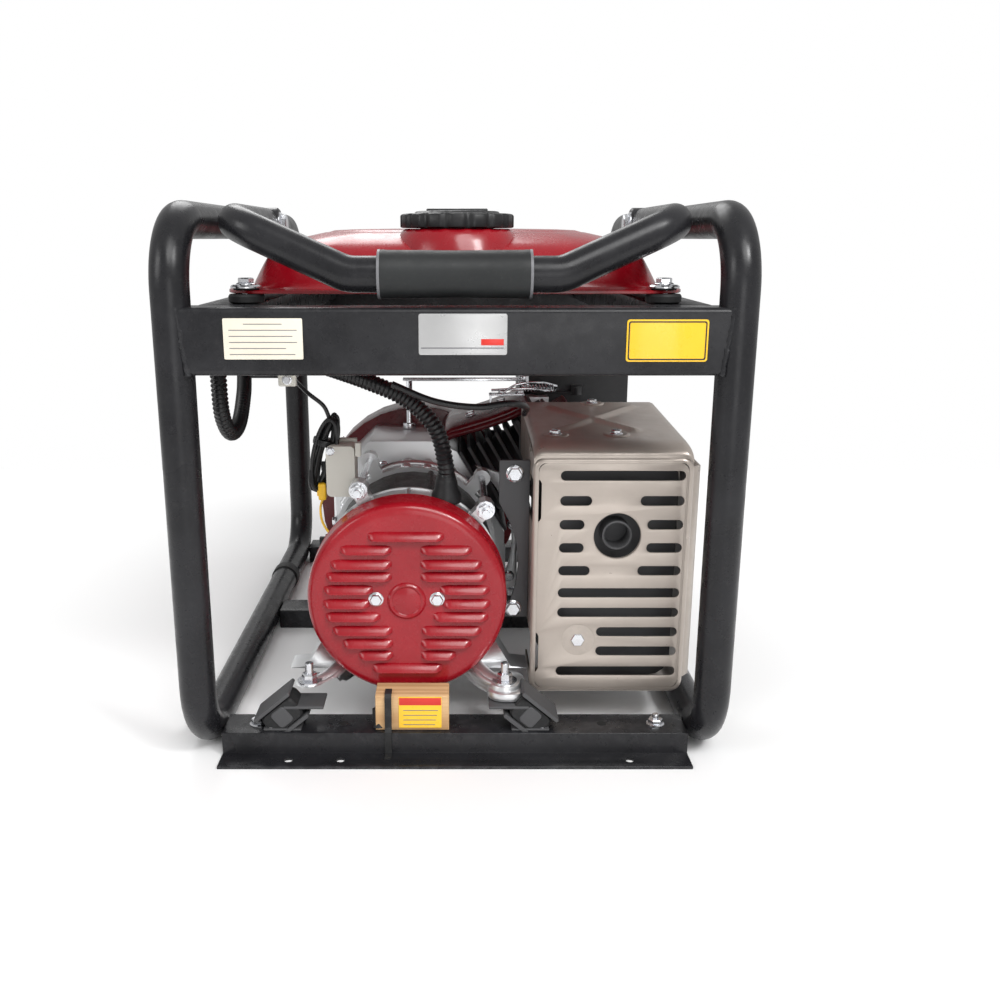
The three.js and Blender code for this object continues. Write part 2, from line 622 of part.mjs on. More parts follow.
function fan() {
  const front = ENGINE.back + GAP + SHROUD.wall + 5;
  const disc = turned(
    AX, AZ,
    [
      [FAN.bore, front], [FAN.radius, front], [FAN.radius, front + 6], [40, front + 10], [40, front + 26],
      [FAN.bore, front + 26],
    ],
    32,
  );
  const vanes = Array.from({ length: FAN.vanes }, (_, i) => {
    const vane = new THREE.BoxGeometry(62, FAN.depth - 6, 3).translate(78, front + 2 + FAN.depth / 2, 0);
    return solid(vane.rotateY((i / FAN.vanes) * Math.PI * 2).translate(AX, 0, AZ));
  });
  return joined([disc, ...vanes]);
}
add("flywheel_fan", fan(), "casting");

// ---- Engine ----
const AXIS = { x: Math.cos(TILT), z: Math.sin(TILT) };
// A point beside the cylinder: a distance along its axis and one across it.
function onCylinder(along, across) {
  return [AX + along * AXIS.x - across * AXIS.z, AZ + along * AXIS.z + across * AXIS.x];
}
// A slab across the cylinder's axis.
function slab(from, to, half, y0, y1) {
  return plate(
    "y", [onCylinder(from, -half), onCylinder(to, -half), onCylinder(to, half), onCylinder(from, half)],
    y0, y1,
  );
}

function crankcase() {
  const { front, back, left, floor, top } = ENGINE;
  const [deckLow, deckHigh] = [onCylinder(CYLINDER.deck - 1, -60), onCylinder(CYLINDER.deck - 1, 60)];
  const outline = [
    [left, floor], [deckLow[0], floor], deckLow, deckHigh, [-24, top], [left + 44, top], [left, top - 44],
  ];
  const body = plate("y", outline, front + 14, back);
  const nose = bar([AX, front, AZ], [AX, front + 15, AZ], 86, 32);
  const feet = block(left - 26, 90, ENGINE_RAIL - 30, ENGINE_RAIL + 30, FOOT.z, FOOT.z + 16);
  const ribs = [-1, 1].map((side) => block(
    left - 2, deckLow[0] + 2, side > 0 ? back - 12 : front + 20, side > 0 ? back - 6 : front + 26,
    floor + 6, floor + 60,
  ));
  const cavity = block(left + 14, 30, front + 28, back - 14, floor + 16, AZ + CRANK.weight + 10);
  const bore = bar([AX, front - 1, AZ], [AX, back + 1, AZ], 17, 20);
  const [c0, c1] = [onCylinder(40, 0), onCylinder(CYLINDER.deck + 4, 0)];
  const cylinderBore = bar([c0[0], BORE_Y, c0[1]], [c1[0], BORE_Y, c1[1]], 34, 20);
  const filler = bar([left - 20, BORE_Y + 30, floor + 34], [left + 30, BORE_Y + 30, floor + 34], 12.5, 16);
  const spout = bar([left - 12, BORE_Y + 30, floor + 34], [left + 5, BORE_Y + 30, floor + 34], 17, 20);
  return cut(joined([body, nose, feet, ...ribs, spout]), [cavity, bore, cylinderBore, filler]);
}
add("crankcase", crankcase(), "casting");

function cylinder() {
  const half = CYLINDER.width / 2;
  const [y0, y1] = [BORE_Y - half, BORE_Y + half];
  const start = CYLINDER.deck;
  const end = start + CYLINDER.length;
  const [a, b] = [onCylinder(start, 0), onCylinder(end, 0)];
  const core = bar([a[0], BORE_Y, a[1]], [b[0], BORE_Y, b[1]], CYLINDER.core, 16);
  const pitch = (CYLINDER.length - CYLINDER.fin) / (CYLINDER.fins - 1);
  const fins = Array.from(
    { length: CYLINDER.fins },
    (_, i) => slab(start + i * pitch, start + i * pitch + CYLINDER.fin, half, y0, y1),
  );
  const [d0, d1] = [onCylinder(start - 3, 0), onCylinder(end + 3, 0)];
  const bore = bar([d0[0], BORE_Y, d0[1]], [d1[0], BORE_Y, d1[1]], 34, 20);
  return cut(joined([core, ...fins]), [bore]);
}
add("cylinder", cylinder(), "heatBlack");

const HEAD = { start: CYLINDER.deck + CYLINDER.length + GAP, length: 38 };
function cylinderHead() {
  const half = CYLINDER.width / 2;
  const { start, length } = HEAD;
  const body = slab(start, start + length, half - 10, BORE_Y - half + 8, BORE_Y + half - 8);
  const fins = [0, 1, 2].map((i) => slab(
    start + i * 12, start + i * 12 + 4, half, BORE_Y - half, BORE_Y + half,
  ));
  const [px, pz] = onCylinder(start + length / 2 + 3, 22);
  const exhaust = bar([px, BORE_Y - half - 4, pz], [px, BORE_Y - half + 20, pz], 15, 20);
  const inlet = bar([px, BORE_Y + half - 20, pz], [px, BORE_Y + half + 4, pz], 15, 20);
  const [sx, sz] = onCylinder(start + length / 2 + 3, -half + 4);
  const [ex, ez] = onCylinder(start + length / 2 + 3, -half - 10);
  const plugSeat = bar([sx, BORE_Y, sz], [ex, BORE_Y, ez], 11, 16);
  const [hx, hz] = onCylinder(start + length / 2 + 3, -20);
  const plugHole = bar([ex, BORE_Y, ez], [hx, BORE_Y, hz], 6.5, 12);
  const ports = bar([px, BORE_Y - half - 6, pz], [px, BORE_Y + half + 6, pz], 11, 16);
  return cut(joined([body, ...fins, exhaust, inlet, plugSeat]), [plugHole, ports]);
}
add("cylinder_head", cylinderHead(), "casting");

function valveCover() {
  const start = HEAD.start + HEAD.length + GAP;
  const half = CYLINDER.width / 2 - 14;
  const rim = slab(start, start + 5, half + 4, BORE_Y - half - 4, BORE_Y + half + 4);
  const dome = slab(start, start + 30, half - 4, BORE_Y - half + 4, BORE_Y + half - 4);
  return joined([rim, dome]);
}
add("valve_cover", valveCover(), "steel");

function sparkPlug() {
  const along = HEAD.start + HEAD.length / 2 + 3;
  const half = CYLINDER.width / 2;
  const point = (across) => {
    const [x, z] = onCylinder(along, across);
    return [x, BORE_Y, z];
  };
  const thread = bar(point(-24), point(-half - 12), 5.5, 12);
  const hex = bar(point(-half - 10 - GAP), point(-half - 20), 10.5, 6);
  const boot = bar(point(-half - 19), point(-half - 52), 12, 16, 9);
  return joined([thread, hex, boot]);
}
add("spark_plug", sparkPlug(), "rubber");

// The fan shroud: a drum round the fan, open at its middle and towards the starter.
function fanShroud() {
  const [front, r, w, eye, lip] = [ENGINE.back + GAP, SHROUD.radius, SHROUD.wall, 60, 12];
  const back = front + SHROUD.depth;
  const outside = [[eye, front], [r, front], [r, back], [r - w - lip, back]];
  const inside = [[r - w - lip, back - w], [r - w, back - w], [r - w, front + w], [eye, front + w]];
  return turned(AX, AZ, [...outside, ...inside], 32);
}
add("fan_shroud", fanShroud(), "darkRed");

// The starter grip sits on a seat at the housing's upper right and is pulled out and away from the set.
const PULL = (() => {
  const way = new THREE.Vector3(0.42, 0.86, 0.29).normalize();
  const from = new THREE.Vector3(AX + 68, ENGINE.back + SHROUD.depth + RECOIL.depth - 2 + 9, AZ + 62);
  const at = (distance) => from.clone().addScaledVector(way, distance).toArray();
  return { way, from: at(0), seat: at(-22), inside: at(-40), grip: at(1) };
})();

function recoilHousing() {
  const front = ENGINE.back + 2 * GAP + SHROUD.depth;
  const back = front + RECOIL.depth;
  const [r, w] = [RECOIL.radius, RECOIL.wall];
  const outer = [
    [r + 14, front], [r + 14, front + w], [r, front + w], [r - 6, back - 12], [r - 26, back], [0, back],
  ];
  const inner = [[0, back - w], [r - 28, back - w], [r - 6 - w, back - 13], [r - w, front]];
  const shell = turned(AX, AZ, [...outer, ...inner], 32);
  const slots = Array.from({ length: RECOIL.slots }, (_, i) => {
    const slot = new THREE.BoxGeometry(34, 12, 8).translate(62, back - 2, 0);
    return solid(slot.rotateY((i / RECOIL.slots) * Math.PI * 2).translate(AX, 0, AZ));
  });
  const seat = bar([PULL.from[0], PULL.from[1], PULL.from[2]], PULL.seat, 14, 16);
  const rope = bar(PULL.inside, PULL.from, 3.2, 8);
  const room = turned(
    AX, AZ, [[0, front - 5], [r - w - 2, front - 5], [r - 12, back - 15], [0, back - w - 0.5]], 32,
  );
  return cut(joined([shell, cut(seat, [room])]), [...slots, rope]);
}

add("recoil_housing", recoilHousing(), "darkRed");

function recoilGrip() {
  const start = new THREE.Vector3(...PULL.grip);
  const at = (distance) => start.clone().addScaledVector(PULL.way, distance).toArray();
  const stem = bar(at(0), at(12), 8, 12);
  const side = new THREE.Vector3(0.6, -0.5, 0.62).cross(PULL.way).normalize();
  const centre = new THREE.Vector3(...at(18));
  const crossBar = bar(
    centre.clone().addScaledVector(side, -42).toArray(),
    centre.clone().addScaledVector(side, 42).toArray(), 10, 14,
  );
  return joined([stem, crossBar]);
}
add("recoil_grip", recoilGrip(), "plastic");

// Carburettor on the inlet side of the head, with the air cleaner behind it.
const [PORT_X, PORT_Z] = onCylinder(HEAD.start + HEAD.length / 2 + 3, 22);
const PORT_Y = BORE_Y + CYLINDER.width / 2 + 4;
const CARB = { front: PORT_Y + GAP, length: 50 };
function carburettor() {
  const back = CARB.front + CARB.length;
  const throat = bar([PORT_X, CARB.front, PORT_Z], [PORT_X, back, PORT_Z], 21, 20);
  const flangePlate = block(PORT_X - 32, PORT_X + 32, CARB.front, CARB.front + 6, PORT_Z - 16, PORT_Z + 16);
  const bowl = bar([PORT_X, CARB.front + 25, PORT_Z - 52], [PORT_X, CARB.front + 25, PORT_Z], 20, 20);
  const top = block(PORT_X - 16, PORT_X + 16, CARB.front + 12, back - 8, PORT_Z + 10, PORT_Z + 30);
  const arm = block(PORT_X, PORT_X + 34, CARB.front + 19, CARB.front + 31, PORT_Z - 40, PORT_Z - 28);
  const bore = bar([PORT_X, CARB.front - 1, PORT_Z], [PORT_X, back + 1, PORT_Z], 12, 16);
  const spindles = [
    bar([PORT_X + 20, CARB.front + 25, PORT_Z - 34], [PORT_X + 50, CARB.front + 25, PORT_Z - 34], 3.2, 10),
    bar([PORT_X, CARB.front + 36, PORT_Z + 22], [PORT_X, CARB.front + 36, PORT_Z + 40], 3.2, 10),
  ];
  return cut(joined([throat, flangePlate, bowl, top, arm]), [bore, ...spindles]);
}
add("carburettor", carburettor(), "casting");

function chokeLever() {
  const y = CARB.front + 36;
  const spindle = bar([PORT_X, y, PORT_Z + 24], [PORT_X, y, PORT_Z + 34], 2.8, 10);
  const blade = block(PORT_X - 6, PORT_X + 60, y - 6, y + 6, PORT_Z + 31, PORT_Z + 34);
  const knob = bar([PORT_X + 56, y, PORT_Z + 30], [PORT_X + 56, y, PORT_Z + 42], 9, 14);
  return joined([spindle, blade, knob]);
}
add("choke_lever", chokeLever(), "plastic");

function fuelValveLever() {
  const [y, z] = [CARB.front + 25, PORT_Z - 34];
  const spindle = bar([PORT_X + 24, y, z], [PORT_X + 40, y, z], 2.8, 10);
  const blade = block(PORT_X + 36, PORT_X + 41, y - 6, y + 6, z - 6, z + 32);
  return joined([spindle, blade]);
}
add("fuel_valve_lever", fuelValveLever(), "plastic");

const AIR = { width: 150, height: 130, front: CARB.front + CARB.length + GAP, split: 40, depth: 96 };
const AIR_X = AX + SHROUD.radius + 4 + AIR.width / 2;
const AIR_Z = PORT_Z + 14;
function airCase() {
  const outline = roundedRectangle(AIR_X, AIR_Z, AIR.width, AIR.height, 14);
  const inside = roundedRectangle(AIR_X, AIR_Z, AIR.width - 6, AIR.height - 6, 11);
  const shell = cut(
    plate("y", outline, AIR.front, AIR.front + AIR.split),
    [plate("y", inside, AIR.front + 4, AIR.front + AIR.split + 1)],
  );
  const inlet = bar([PORT_X, AIR.front - 1, PORT_Z], [PORT_X, AIR.front + 6, PORT_Z], 12, 16);
  return cut(shell, [inlet]);
}
add("air_cleaner_case", airCase(), "plastic");

function airCover() {
  const front = AIR.front + AIR.split + GAP;
  const outline = roundedRectangle(AIR_X, AIR_Z, AIR.width, AIR.height, 14);
  const inside = roundedRectangle(AIR_X, AIR_Z, AIR.width - 6, AIR.height - 6, 11);
  const back = AIR.front + AIR.depth;
  const shell = cut(plate("y", outline, front, back), [plate("y", inside, front - 1, back - 4)]);
  const knob = bar([AIR_X, back - 1, AIR_Z], [AIR_X, back + 12, AIR_Z], 11, 12);
  return joined([shell, knob]);
}
add("air_cleaner_cover", airCover(), "plastic");

// Governor arm: swings on an upright spindle in the top of the crankcase and reaches over the head.
const GOVERNOR = { x: -60, y: 60, z: 326, length: 150 };
function governorArm() {
  const { x, y, z, length } = GOVERNOR;
  const spindle = bar([x, y, ENGINE.top + GAP], [x, y, z + 3], 4, 12);
  const collar = bar([x, y, ENGINE.top + GAP], [x, y, ENGINE.top + 8], 9, 12);
  const arm = block(x - 8, x + length, y - 7, y + 7, z, z + 3);
  const eye = bar([x + length, y, z - 6], [x + length, y, z + 6], 7, 12);
  return joined([spindle, collar, arm, eye]);
}
add("governor_arm", governorArm(), "zinc");

function dipstick() {
  const [y, z, x] = [BORE_Y + 30, ENGINE.floor + 34, ENGINE.left - 12];
  const cap = bar([x - 14, y, z], [x - GAP, y, z], 17, 12);
  const plug = bar([x - 1, y, z], [x + 26, y, z], 11.5, 16);
  const tee = block(x - 22, x - 12, y - 4, y + 4, z - 13, z + 13);
  return joined([cap, plug, tee]);
}
add("dipstick", dipstick(), "plastic");

// ---- Exhaust ----
const [OUT_X, OUT_Z] = [PORT_X, PORT_Z];
function exhaustPipe() {
  const start = BORE_Y - CYLINDER.width / 2 - 4 - GAP;
  const end = MUFFLER.back + GAP;
  const flangePlate = block(OUT_X - 32, OUT_X + 32, start - 7, start, OUT_Z - 17, OUT_Z + 17);
  const pipe = bar([OUT_X, start - 1, OUT_Z], [OUT_X, end, OUT_Z], 17, 20);
  const collar = bar([OUT_X, end + 6, OUT_Z], [OUT_X, end, OUT_Z], 22, 20);
  const bore = bar([OUT_X, start + 1, OUT_Z], [OUT_X, end - 1, OUT_Z], 14, 20);
  return cut(joined([flangePlate, pipe, collar]), [bore]);
}
add("exhaust_pipe", exhaustPipe(), "steel");

const SHIELD_BOLT = { x: 128, z: 100 };
function mufflerBody() {
  const { left, right, front, back, bottom, top, round } = MUFFLER;
  const [cx, cz] = [(left + right) / 2, (bottom + top) / 2];
  const [width, height] = [right - left, top - bottom];
  const body = plate("y", roundedRectangle(cx, cz, width, height, round), front + 14, back);
  const seam = plate(
    "y", roundedRectangle(cx, cz, width + 6, height + 6, round + 3), front + 96, front + 101,
  );
  const tail = bar([TAIL.x, SHIELD.front + 3, TAIL.z], [TAIL.x, front + 20, TAIL.z], TAIL.pipe, 20);
  const bolt = bar(
    [SHIELD_BOLT.x, SHIELD.front + 6, SHIELD_BOLT.z], [SHIELD_BOLT.x, front + 16, SHIELD_BOLT.z], 9, 12,
  );
  const tailBore = bar([TAIL.x, SHIELD.front - 5, TAIL.z], [TAIL.x, front + 60, TAIL.z], TAIL.pipe - 2, 20);
  const hollow = plate(
    "y", roundedRectangle(cx, cz, width - 6, height - 6, round - 3), front + 17, back - 3,
  );
  const inlet = bar([OUT_X, back - 5, OUT_Z], [OUT_X, back + 5, OUT_Z], 14, 20);
  return cut(joined([cut(joined([body, seam]), [hollow]), tail, bolt]), [tailBore, inlet]);
}
add("muffler_body", mufflerBody(), "heatBlack");

// The guard's ten slot rows.
// Four are broken by the tail pipe's hole, and two are short beside the guard's screw.
const SLOT = { height: 10, left: 106, right: 231 };
const SLOT_HEIGHTS = [276, 250, 225, 200.5, 176, 152, 130.5, 109, 87.5, 65];
function slotRow(row) {
  const z = SLOT_HEIGHTS[row];
  if (row === 1 || row === 4) return [[SLOT.left, 138, z], [187, SLOT.right, z]];
  if (row === 2 || row === 3) return [[SLOT.left, 131, z], [195, SLOT.right, z]];
  if (row === 7 || row === 8) return [[147, SLOT.right, z]];
  return [[SLOT.left, SLOT.right, z]];
}
function frontShield() {
  const { left, right, front, sheet, bottom, top, flange: depth } = SHIELD;
  const [cx, cz] = [(left + right) / 2, (bottom + top) / 2];
  const face = plate("y", roundedRectangle(cx, cz, right - left, top - bottom, 10), front, front + sheet);
  const rim = plate("y", roundedRectangle(cx, cz, right - left, top - bottom, 10), front, front + depth);
  const room = plate(
    "y", roundedRectangle(cx, cz, right - left - 2 * sheet, top - bottom - 2 * sheet, 8), front - 1,
    front + depth + 1,
  );
  const wings = [-1, 1].map((side) => {
    const x = side > 0 ? right - sheet : left;
    return plate(
      "z",
      side > 0 ? [
        [x, front + 10], [x + 13, front + 22], [x + 13, front + 24], [x, front + 12],
      ] : [[x, front + 10], [x + 2, front + 10], [x + 2, front + 12], [x, front + 12]],
      bottom + 12, top - 12,
    );
  });
  const slots = SLOT_HEIGHTS.flatMap((_, row) => slotRow(row)).map(([x0, x1, z]) => {
    return plate(
      "y", roundedRectangle((x0 + x1) / 2, z, x1 - x0, SLOT.height, 4.8), front - 4, front + sheet + 4, 1,
    );
  });
  const hole = bar([TAIL.x, front - 8, TAIL.z], [TAIL.x, front + 8, TAIL.z], TAIL.hole, 32);
  const notches = [250, 86].map((z) => block(
    left - 5, left + 6, front - 1, front + depth + 1, z - 22, z + 22,
  ));
  const dimple = bar(
    [SHIELD_BOLT.x, front - 1, SHIELD_BOLT.z], [SHIELD_BOLT.x, front + sheet + 1, SHIELD_BOLT.z], 5, 12,
  );
  return cut(joined([face, cut(rim, [room]), wings[1]]), [...slots, hole, ...notches, dimple]);
}
add("muffler_front_shield", frontShield(), "shield");

const ROOF = { front: SHIELD.front + 2, back: -62, low: SHIELD.top + GAP, rise: 20 };
function topShield() {
  const { front, back, low, rise } = ROOF;
  const [left, right, s] = [SHIELD.left + 1, SHIELD.right - 1, SHIELD.sheet];
  const roof = plate(
    "x", [[front, low], [back, low + rise], [back, low + rise + s], [front, low + s]], left, right,
  );
  const skirts = [left, right - s].map((x) => plate(
    "x",
    [
      [front + 62, low - 40], [back, low - 40], [back, low + rise + 1], [front, low + 1], [front, low],
      [front + 62, low],
    ],
    x, x + s,
  ));
  const beads = [-1, 1].map((side) => {
    const [y0, y1] = [front + 40, back - 30];
    const middle = (left + right) / 2;
    const lift = (y) => low + s + (rise * (y - front)) / (back - front);
    return bar([middle - side * 50, y0, lift(y0)], [middle + side * 50, y1, lift(y1)], 4, 8);
  });
  return joined([roof, ...skirts, ...beads]);
}
add("muffler_top_shield", topShield(), "shield");

// The plate beside the alternator that carries the muffler, hollowed on the alternator's side.
const BRACKET = {
  left: 46, front: -236, sheet: 4, bottom: 112, top: 284, hollow: 116, hollowRise: 22, bolt: 62,
};
function mufflerBracket() {
  const { left, front, sheet, bottom, top } = BRACKET;
  const back = front + sheet;
  const edge = SHIELD.left - GAP;
  const blank = plate("y", [[left, bottom], [edge, bottom], [edge, top], [left, top]], front, back);
  const scoopZ = AZ + BRACKET.hollowRise;
  const scoop = bar([AX, front - 1, scoopZ], [AX, back + 1, scoopZ], BRACKET.hollow, 32);
  const flangePlate = block(edge - sheet, edge, front, -150, bottom + 18, top - 22);
  const holes = [top - 14, bottom + 10].map((z) => {
    return bar([BRACKET.bolt, front - 1, z], [BRACKET.bolt, back + 1, z], 4.5, 12);
  });
  return cut(joined([blank, flangePlate]), [scoop, ...holes]);
}
add("muffler_bracket", mufflerBracket(), "heatBlack");

// ---- Rubber isolators under the feet, and the wooden block wedged in for transport ----
function isolator(x, y, lean) {
  const base = block(x - 26, x + 26, y - 18, y + 18, RAIL.height + GAP, RAIL.height + GAP + 3);
  const [bottom, top] = [RAIL.height + GAP + 2, FOOT.z - GAP];
  const leaning = bar([x + lean * 16, y, bottom - 12], [x - lean * 10, y, top + 12], 14, 20);
  const rubber = leaning.intersect(block(x - 60, x + 60, y - 30, y + 30, bottom, top - 3));
  const cap = block(x - lean * 3 - 20, x - lean * 3 + 20, y - 16, y + 16, top - 4, top);
  return joined([base, rubber, cap]);
}
const ISOLATORS = [
  ["front_left", AX - FOOT.x - 8, -END_RAIL, -1],
  ["front_right", AX + FOOT.x + 8, -END_RAIL, 1],
  ["rear_left", -144, ENGINE_RAIL, -1],
  ["rear_right", 56, ENGINE_RAIL, 1],
];
ISOLATORS.forEach(([name, x, y, lean]) => add("isolator_" + name, isolator(x, y, lean), "rubber"));
const WOOD = { width: 74, left: AX - 31, front: -END_RAIL - 15, back: -END_RAIL + 16, lap: 15 };
add(
  "transit_block",
  block(WOOD.left, WOOD.left + WOOD.width, WOOD.front, WOOD.back, RAIL.height + GAP, AZ - COVER.radius + WOOD.lap),
  "wood",
);

// ---- Control box on the left side ----
// Where the two conduits come into the box: x, z.
const GLANDS = [[BOX.outer + 41, BOX.top - 52], [BOX.outer + 16, BOX.top - 68]];
function controlBox() {
  const { outer, inner, front, back, bottom, top, wall: w } = BOX;
  const shell = cut(
    block(outer, inner, front, back, bottom, top),
    [block(outer - 1, inner - w, front + w, back - w, bottom + w, top - w)],
  );
  const glands = GLANDS.map(([x, z]) => bar([x, front - 1, z], [x, front + w + 1, z], 9.6, 16));
  const hangers = [20, 210].map((y) => block(
    inner - 30, inner - 4, y - 15, y + 15, top - 1, BEAM_TOP - LEDGE.sheet - GAP,
  ));
  return cut(joined([shell, ...hangers]), glands);
}
add("control_box", controlBox(), "frame");

const PANEL = { x: BOX.outer - GAP, sheet: 2 };
const FACE = PANEL.x - PANEL.sheet; // outer face of the panel
const ROW_Z = (BOX.bottom + BOX.top) / 2;
const FITTINGS = { duplex: 40, locking: 110, breaker: 165, meter: 205, key: 255 };
function controlPanel() {
  const { x, sheet } = PANEL;
  const body = block(x - sheet, x, BOX.front + 1, BOX.back - 1, BOX.bottom + 1, BOX.top - 1);
  const holes = [
    block(x - 5, x + 5, FITTINGS.duplex - 21, FITTINGS.duplex + 21, ROW_Z - 29, ROW_Z + 29),
    bar([x - 5, FITTINGS.locking, ROW_Z], [x + 5, FITTINGS.locking, ROW_Z], 24, 20),
    block(x - 5, x + 5, FITTINGS.breaker - 8.4, FITTINGS.breaker + 8.4, ROW_Z - 10, ROW_Z + 10),
    block(x - 5, x + 5, FITTINGS.key - 11, FITTINGS.key + 11, ROW_Z - 9, ROW_Z + 9),
  ];
  return joined([cut(body, holes), breakerBody(), voltmeter(), switchBody()]);
}
add("control_panel", controlPanel(), "plastic");
function duplexSocket() {
  const y = FITTINGS.duplex;
  const body = block(FACE, PANEL.x + 24, y - 20, y + 20, ROW_Z - 28, ROW_Z + 28);
  const pins = [-14, 14].flatMap((dz) => [-6, 6].map((dy) => block(
    FACE - 1, FACE + 10, y + dy - 1, y + dy + 1, ROW_Z + dz - 4, ROW_Z + dz + 4,
  )));
  return cut(body, pins);
}
add("socket_duplex", duplexSocket(), "plastic");

function lockingSocket() {
  const y = FITTINGS.locking;
  const body = bar([FACE, y, ROW_Z], [PANEL.x + 26, y, ROW_Z], 23.5, 20);
  const pins = [0, 120, 240].map((angle) => {
    const turn = THREE.MathUtils.degToRad(angle);
    const [cy, cz] = [y + 12 * Math.cos(turn), ROW_Z + 12 * Math.sin(turn)];
    return bar([FACE - 1, cy, cz], [FACE + 10, cy, cz], 2.6, 8);
  });
  return cut(body, pins);
}
add("socket_locking", lockingSocket(), "plastic");

// Sprung weather flaps, hinged along their top edges just outside the panel.
const FLAP = { thick: 4, hinge: 33 };
function flap(y, halfWidth, drop) {
  const [x0, x1] = [FACE - GAP - FLAP.thick, FACE - GAP];
  const top = ROW_Z + FLAP.hinge;
  const lid = block(x0, x1, y - halfWidth, y + halfWidth, top - drop, top);
  const knuckle = bar([x0, y - halfWidth, top], [x0, y + halfWidth, top], 3, 10);
  return joined([lid, knuckle.translate(0.6, 0, 0)]);
}
add("flap_duplex", flap(FITTINGS.duplex, 25, 64), "plastic");
add("flap_locking", flap(FITTINGS.locking, 28, 60), "plastic");

function breakerToggle() {
  const y = FITTINGS.breaker;
  const drum = bar([FACE + 4, y - 8, ROW_Z], [FACE + 4, y + 8, ROW_Z], 7.5, 14);
  const lever = block(FACE - 10, FACE + 2, y - 4, y + 4, ROW_Z - 2.5, ROW_Z + 2.5);
  return joined([drum, lever]);
}
add("breaker_toggle", breakerToggle(), "plastic");

function breakerBody() {
  const y = FITTINGS.breaker;
  const body = block(FACE, PANEL.x + 40, y - 9.7, y + 9.7, ROW_Z - 17.7, ROW_Z + 17.7);
  const well = bar([FACE + 4, y - 8.4, ROW_Z], [FACE + 4, y + 8.4, ROW_Z], 8.4, 14);
  const mouth = block(FACE - 1, FACE + 4, y - 8.4, y + 8.4, ROW_Z - 10, ROW_Z + 10);
  return cut(body, [well, mouth]);
}

function voltmeter() {
  const y = FITTINGS.meter;
  const body = bar([FACE, y, ROW_Z], [PANEL.x + 20, y, ROW_Z], 21.5, 20);
  const bezel = bar([FACE - 4, y, ROW_Z], [FACE + 1, y, ROW_Z], 26, 20);
  return joined([body, bezel]);
}

function switchBody() {
  const y = FITTINGS.key;
  const body = block(FACE, PANEL.x + 22, y - 13.7, y + 13.7, ROW_Z - 11.7, ROW_Z + 11.7);
  const well = block(FACE - 1, FACE + 12, y - 11, y + 11, ROW_Z - 9, ROW_Z + 9);
  return cut(body, [well]);
}

function rocker() {
  const y = FITTINGS.key;
  return plate(
    "z",
    [
      [FACE - 3, y - 9.5], [FACE - 0.5, y], [FACE - 4, y + 9.5], [FACE + 6, y + 9.5], [FACE + 9, y],
      [FACE + 6, y - 9.5],
    ].reverse(),
    ROW_Z - 8.4, ROW_Z + 8.4,
  );
}
add("engine_switch_rocker", rocker(), "signal");

// ---- Cable conduits, held at both ends ----
function conduit(points, radius, steps) {
  const route = new THREE.CatmullRomCurve3(points.map((p) => new THREE.Vector3(...p)));
  return sweep(route, steps, radius, 8);
}
const [MAIN_X, MAIN_Z] = GLANDS[0];
const MAIN_ROUTE = [
  [-9, -236, 255], [-10, -240, 282], [-20, -238, 318], [-48, -228, 345], [-90, -212, 362],
  [MAIN_X + 65, BOX.front - 110, MAIN_Z - 12], [MAIN_X + 10, BOX.front - 50, MAIN_Z],
  [MAIN_X, BOX.front - 4, MAIN_Z],
];
const [LOOP_X, LOOP_Z] = GLANDS[1];
const [LOOP_START_Y, LOOP_START_Z] = [52 - FRAME.length / 2, BEAM_TOP - 35];
const LOOP_ROUTE = [
  [13 - HOOP_INNER, LOOP_START_Y, LOOP_START_Z], [11 - HOOP_INNER, LOOP_START_Y + 8, LOOP_START_Z - 32],
  [9 - HOOP_INNER, LOOP_START_Y + 23, LOOP_START_Z - 72],
  [11 - HOOP_INNER, LOOP_START_Y + 46, LOOP_START_Z - 94],
  [13 - HOOP_INNER, LOOP_START_Y + 78, LOOP_START_Z - 90], [LOOP_X + 14, BOX.front - 120, LOOP_Z - 26],
  [LOOP_X + 2, BOX.front - 50, LOOP_Z - 4], [LOOP_X, BOX.front - 4, LOOP_Z],
];
add("conduit_main", conduit(MAIN_ROUTE, 9, 20), "rubber");
add("conduit_loop", conduit(LOOP_ROUTE, 8, 20), "rubber");

export default group;
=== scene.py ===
"""Looks of an open-frame portable generator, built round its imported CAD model.

Sizes are in millimetres and are turned into metres where meshes are made. Places come from the CAD nodes'
boxes, so a piece follows the model when the model changes.
"""

from __future__ import annotations

import json
import logging
import math
from collections.abc import Callable, Iterable, Sequence
from dataclasses import dataclass
from enum import Enum
from random import Random

import bmesh
import bpy
from mathutils import Matrix, Vector

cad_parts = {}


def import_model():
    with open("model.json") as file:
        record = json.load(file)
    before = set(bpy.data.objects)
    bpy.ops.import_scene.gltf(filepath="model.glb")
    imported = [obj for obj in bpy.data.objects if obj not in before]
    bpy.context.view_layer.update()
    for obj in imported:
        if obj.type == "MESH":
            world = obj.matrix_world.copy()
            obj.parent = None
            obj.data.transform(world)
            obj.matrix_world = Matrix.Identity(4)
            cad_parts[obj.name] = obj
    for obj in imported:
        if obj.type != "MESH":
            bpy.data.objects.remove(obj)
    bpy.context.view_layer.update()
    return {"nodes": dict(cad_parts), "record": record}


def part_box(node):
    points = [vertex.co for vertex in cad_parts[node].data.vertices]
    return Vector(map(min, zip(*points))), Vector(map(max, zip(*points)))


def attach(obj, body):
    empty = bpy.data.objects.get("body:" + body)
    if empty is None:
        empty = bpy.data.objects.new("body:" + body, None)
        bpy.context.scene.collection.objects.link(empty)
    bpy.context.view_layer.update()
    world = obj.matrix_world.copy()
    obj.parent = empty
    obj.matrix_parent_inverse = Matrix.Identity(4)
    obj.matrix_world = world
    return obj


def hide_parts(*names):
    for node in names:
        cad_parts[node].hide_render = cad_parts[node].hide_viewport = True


LOG = logging.getLogger("generator")
MM = 0.001
Point = Sequence[float]
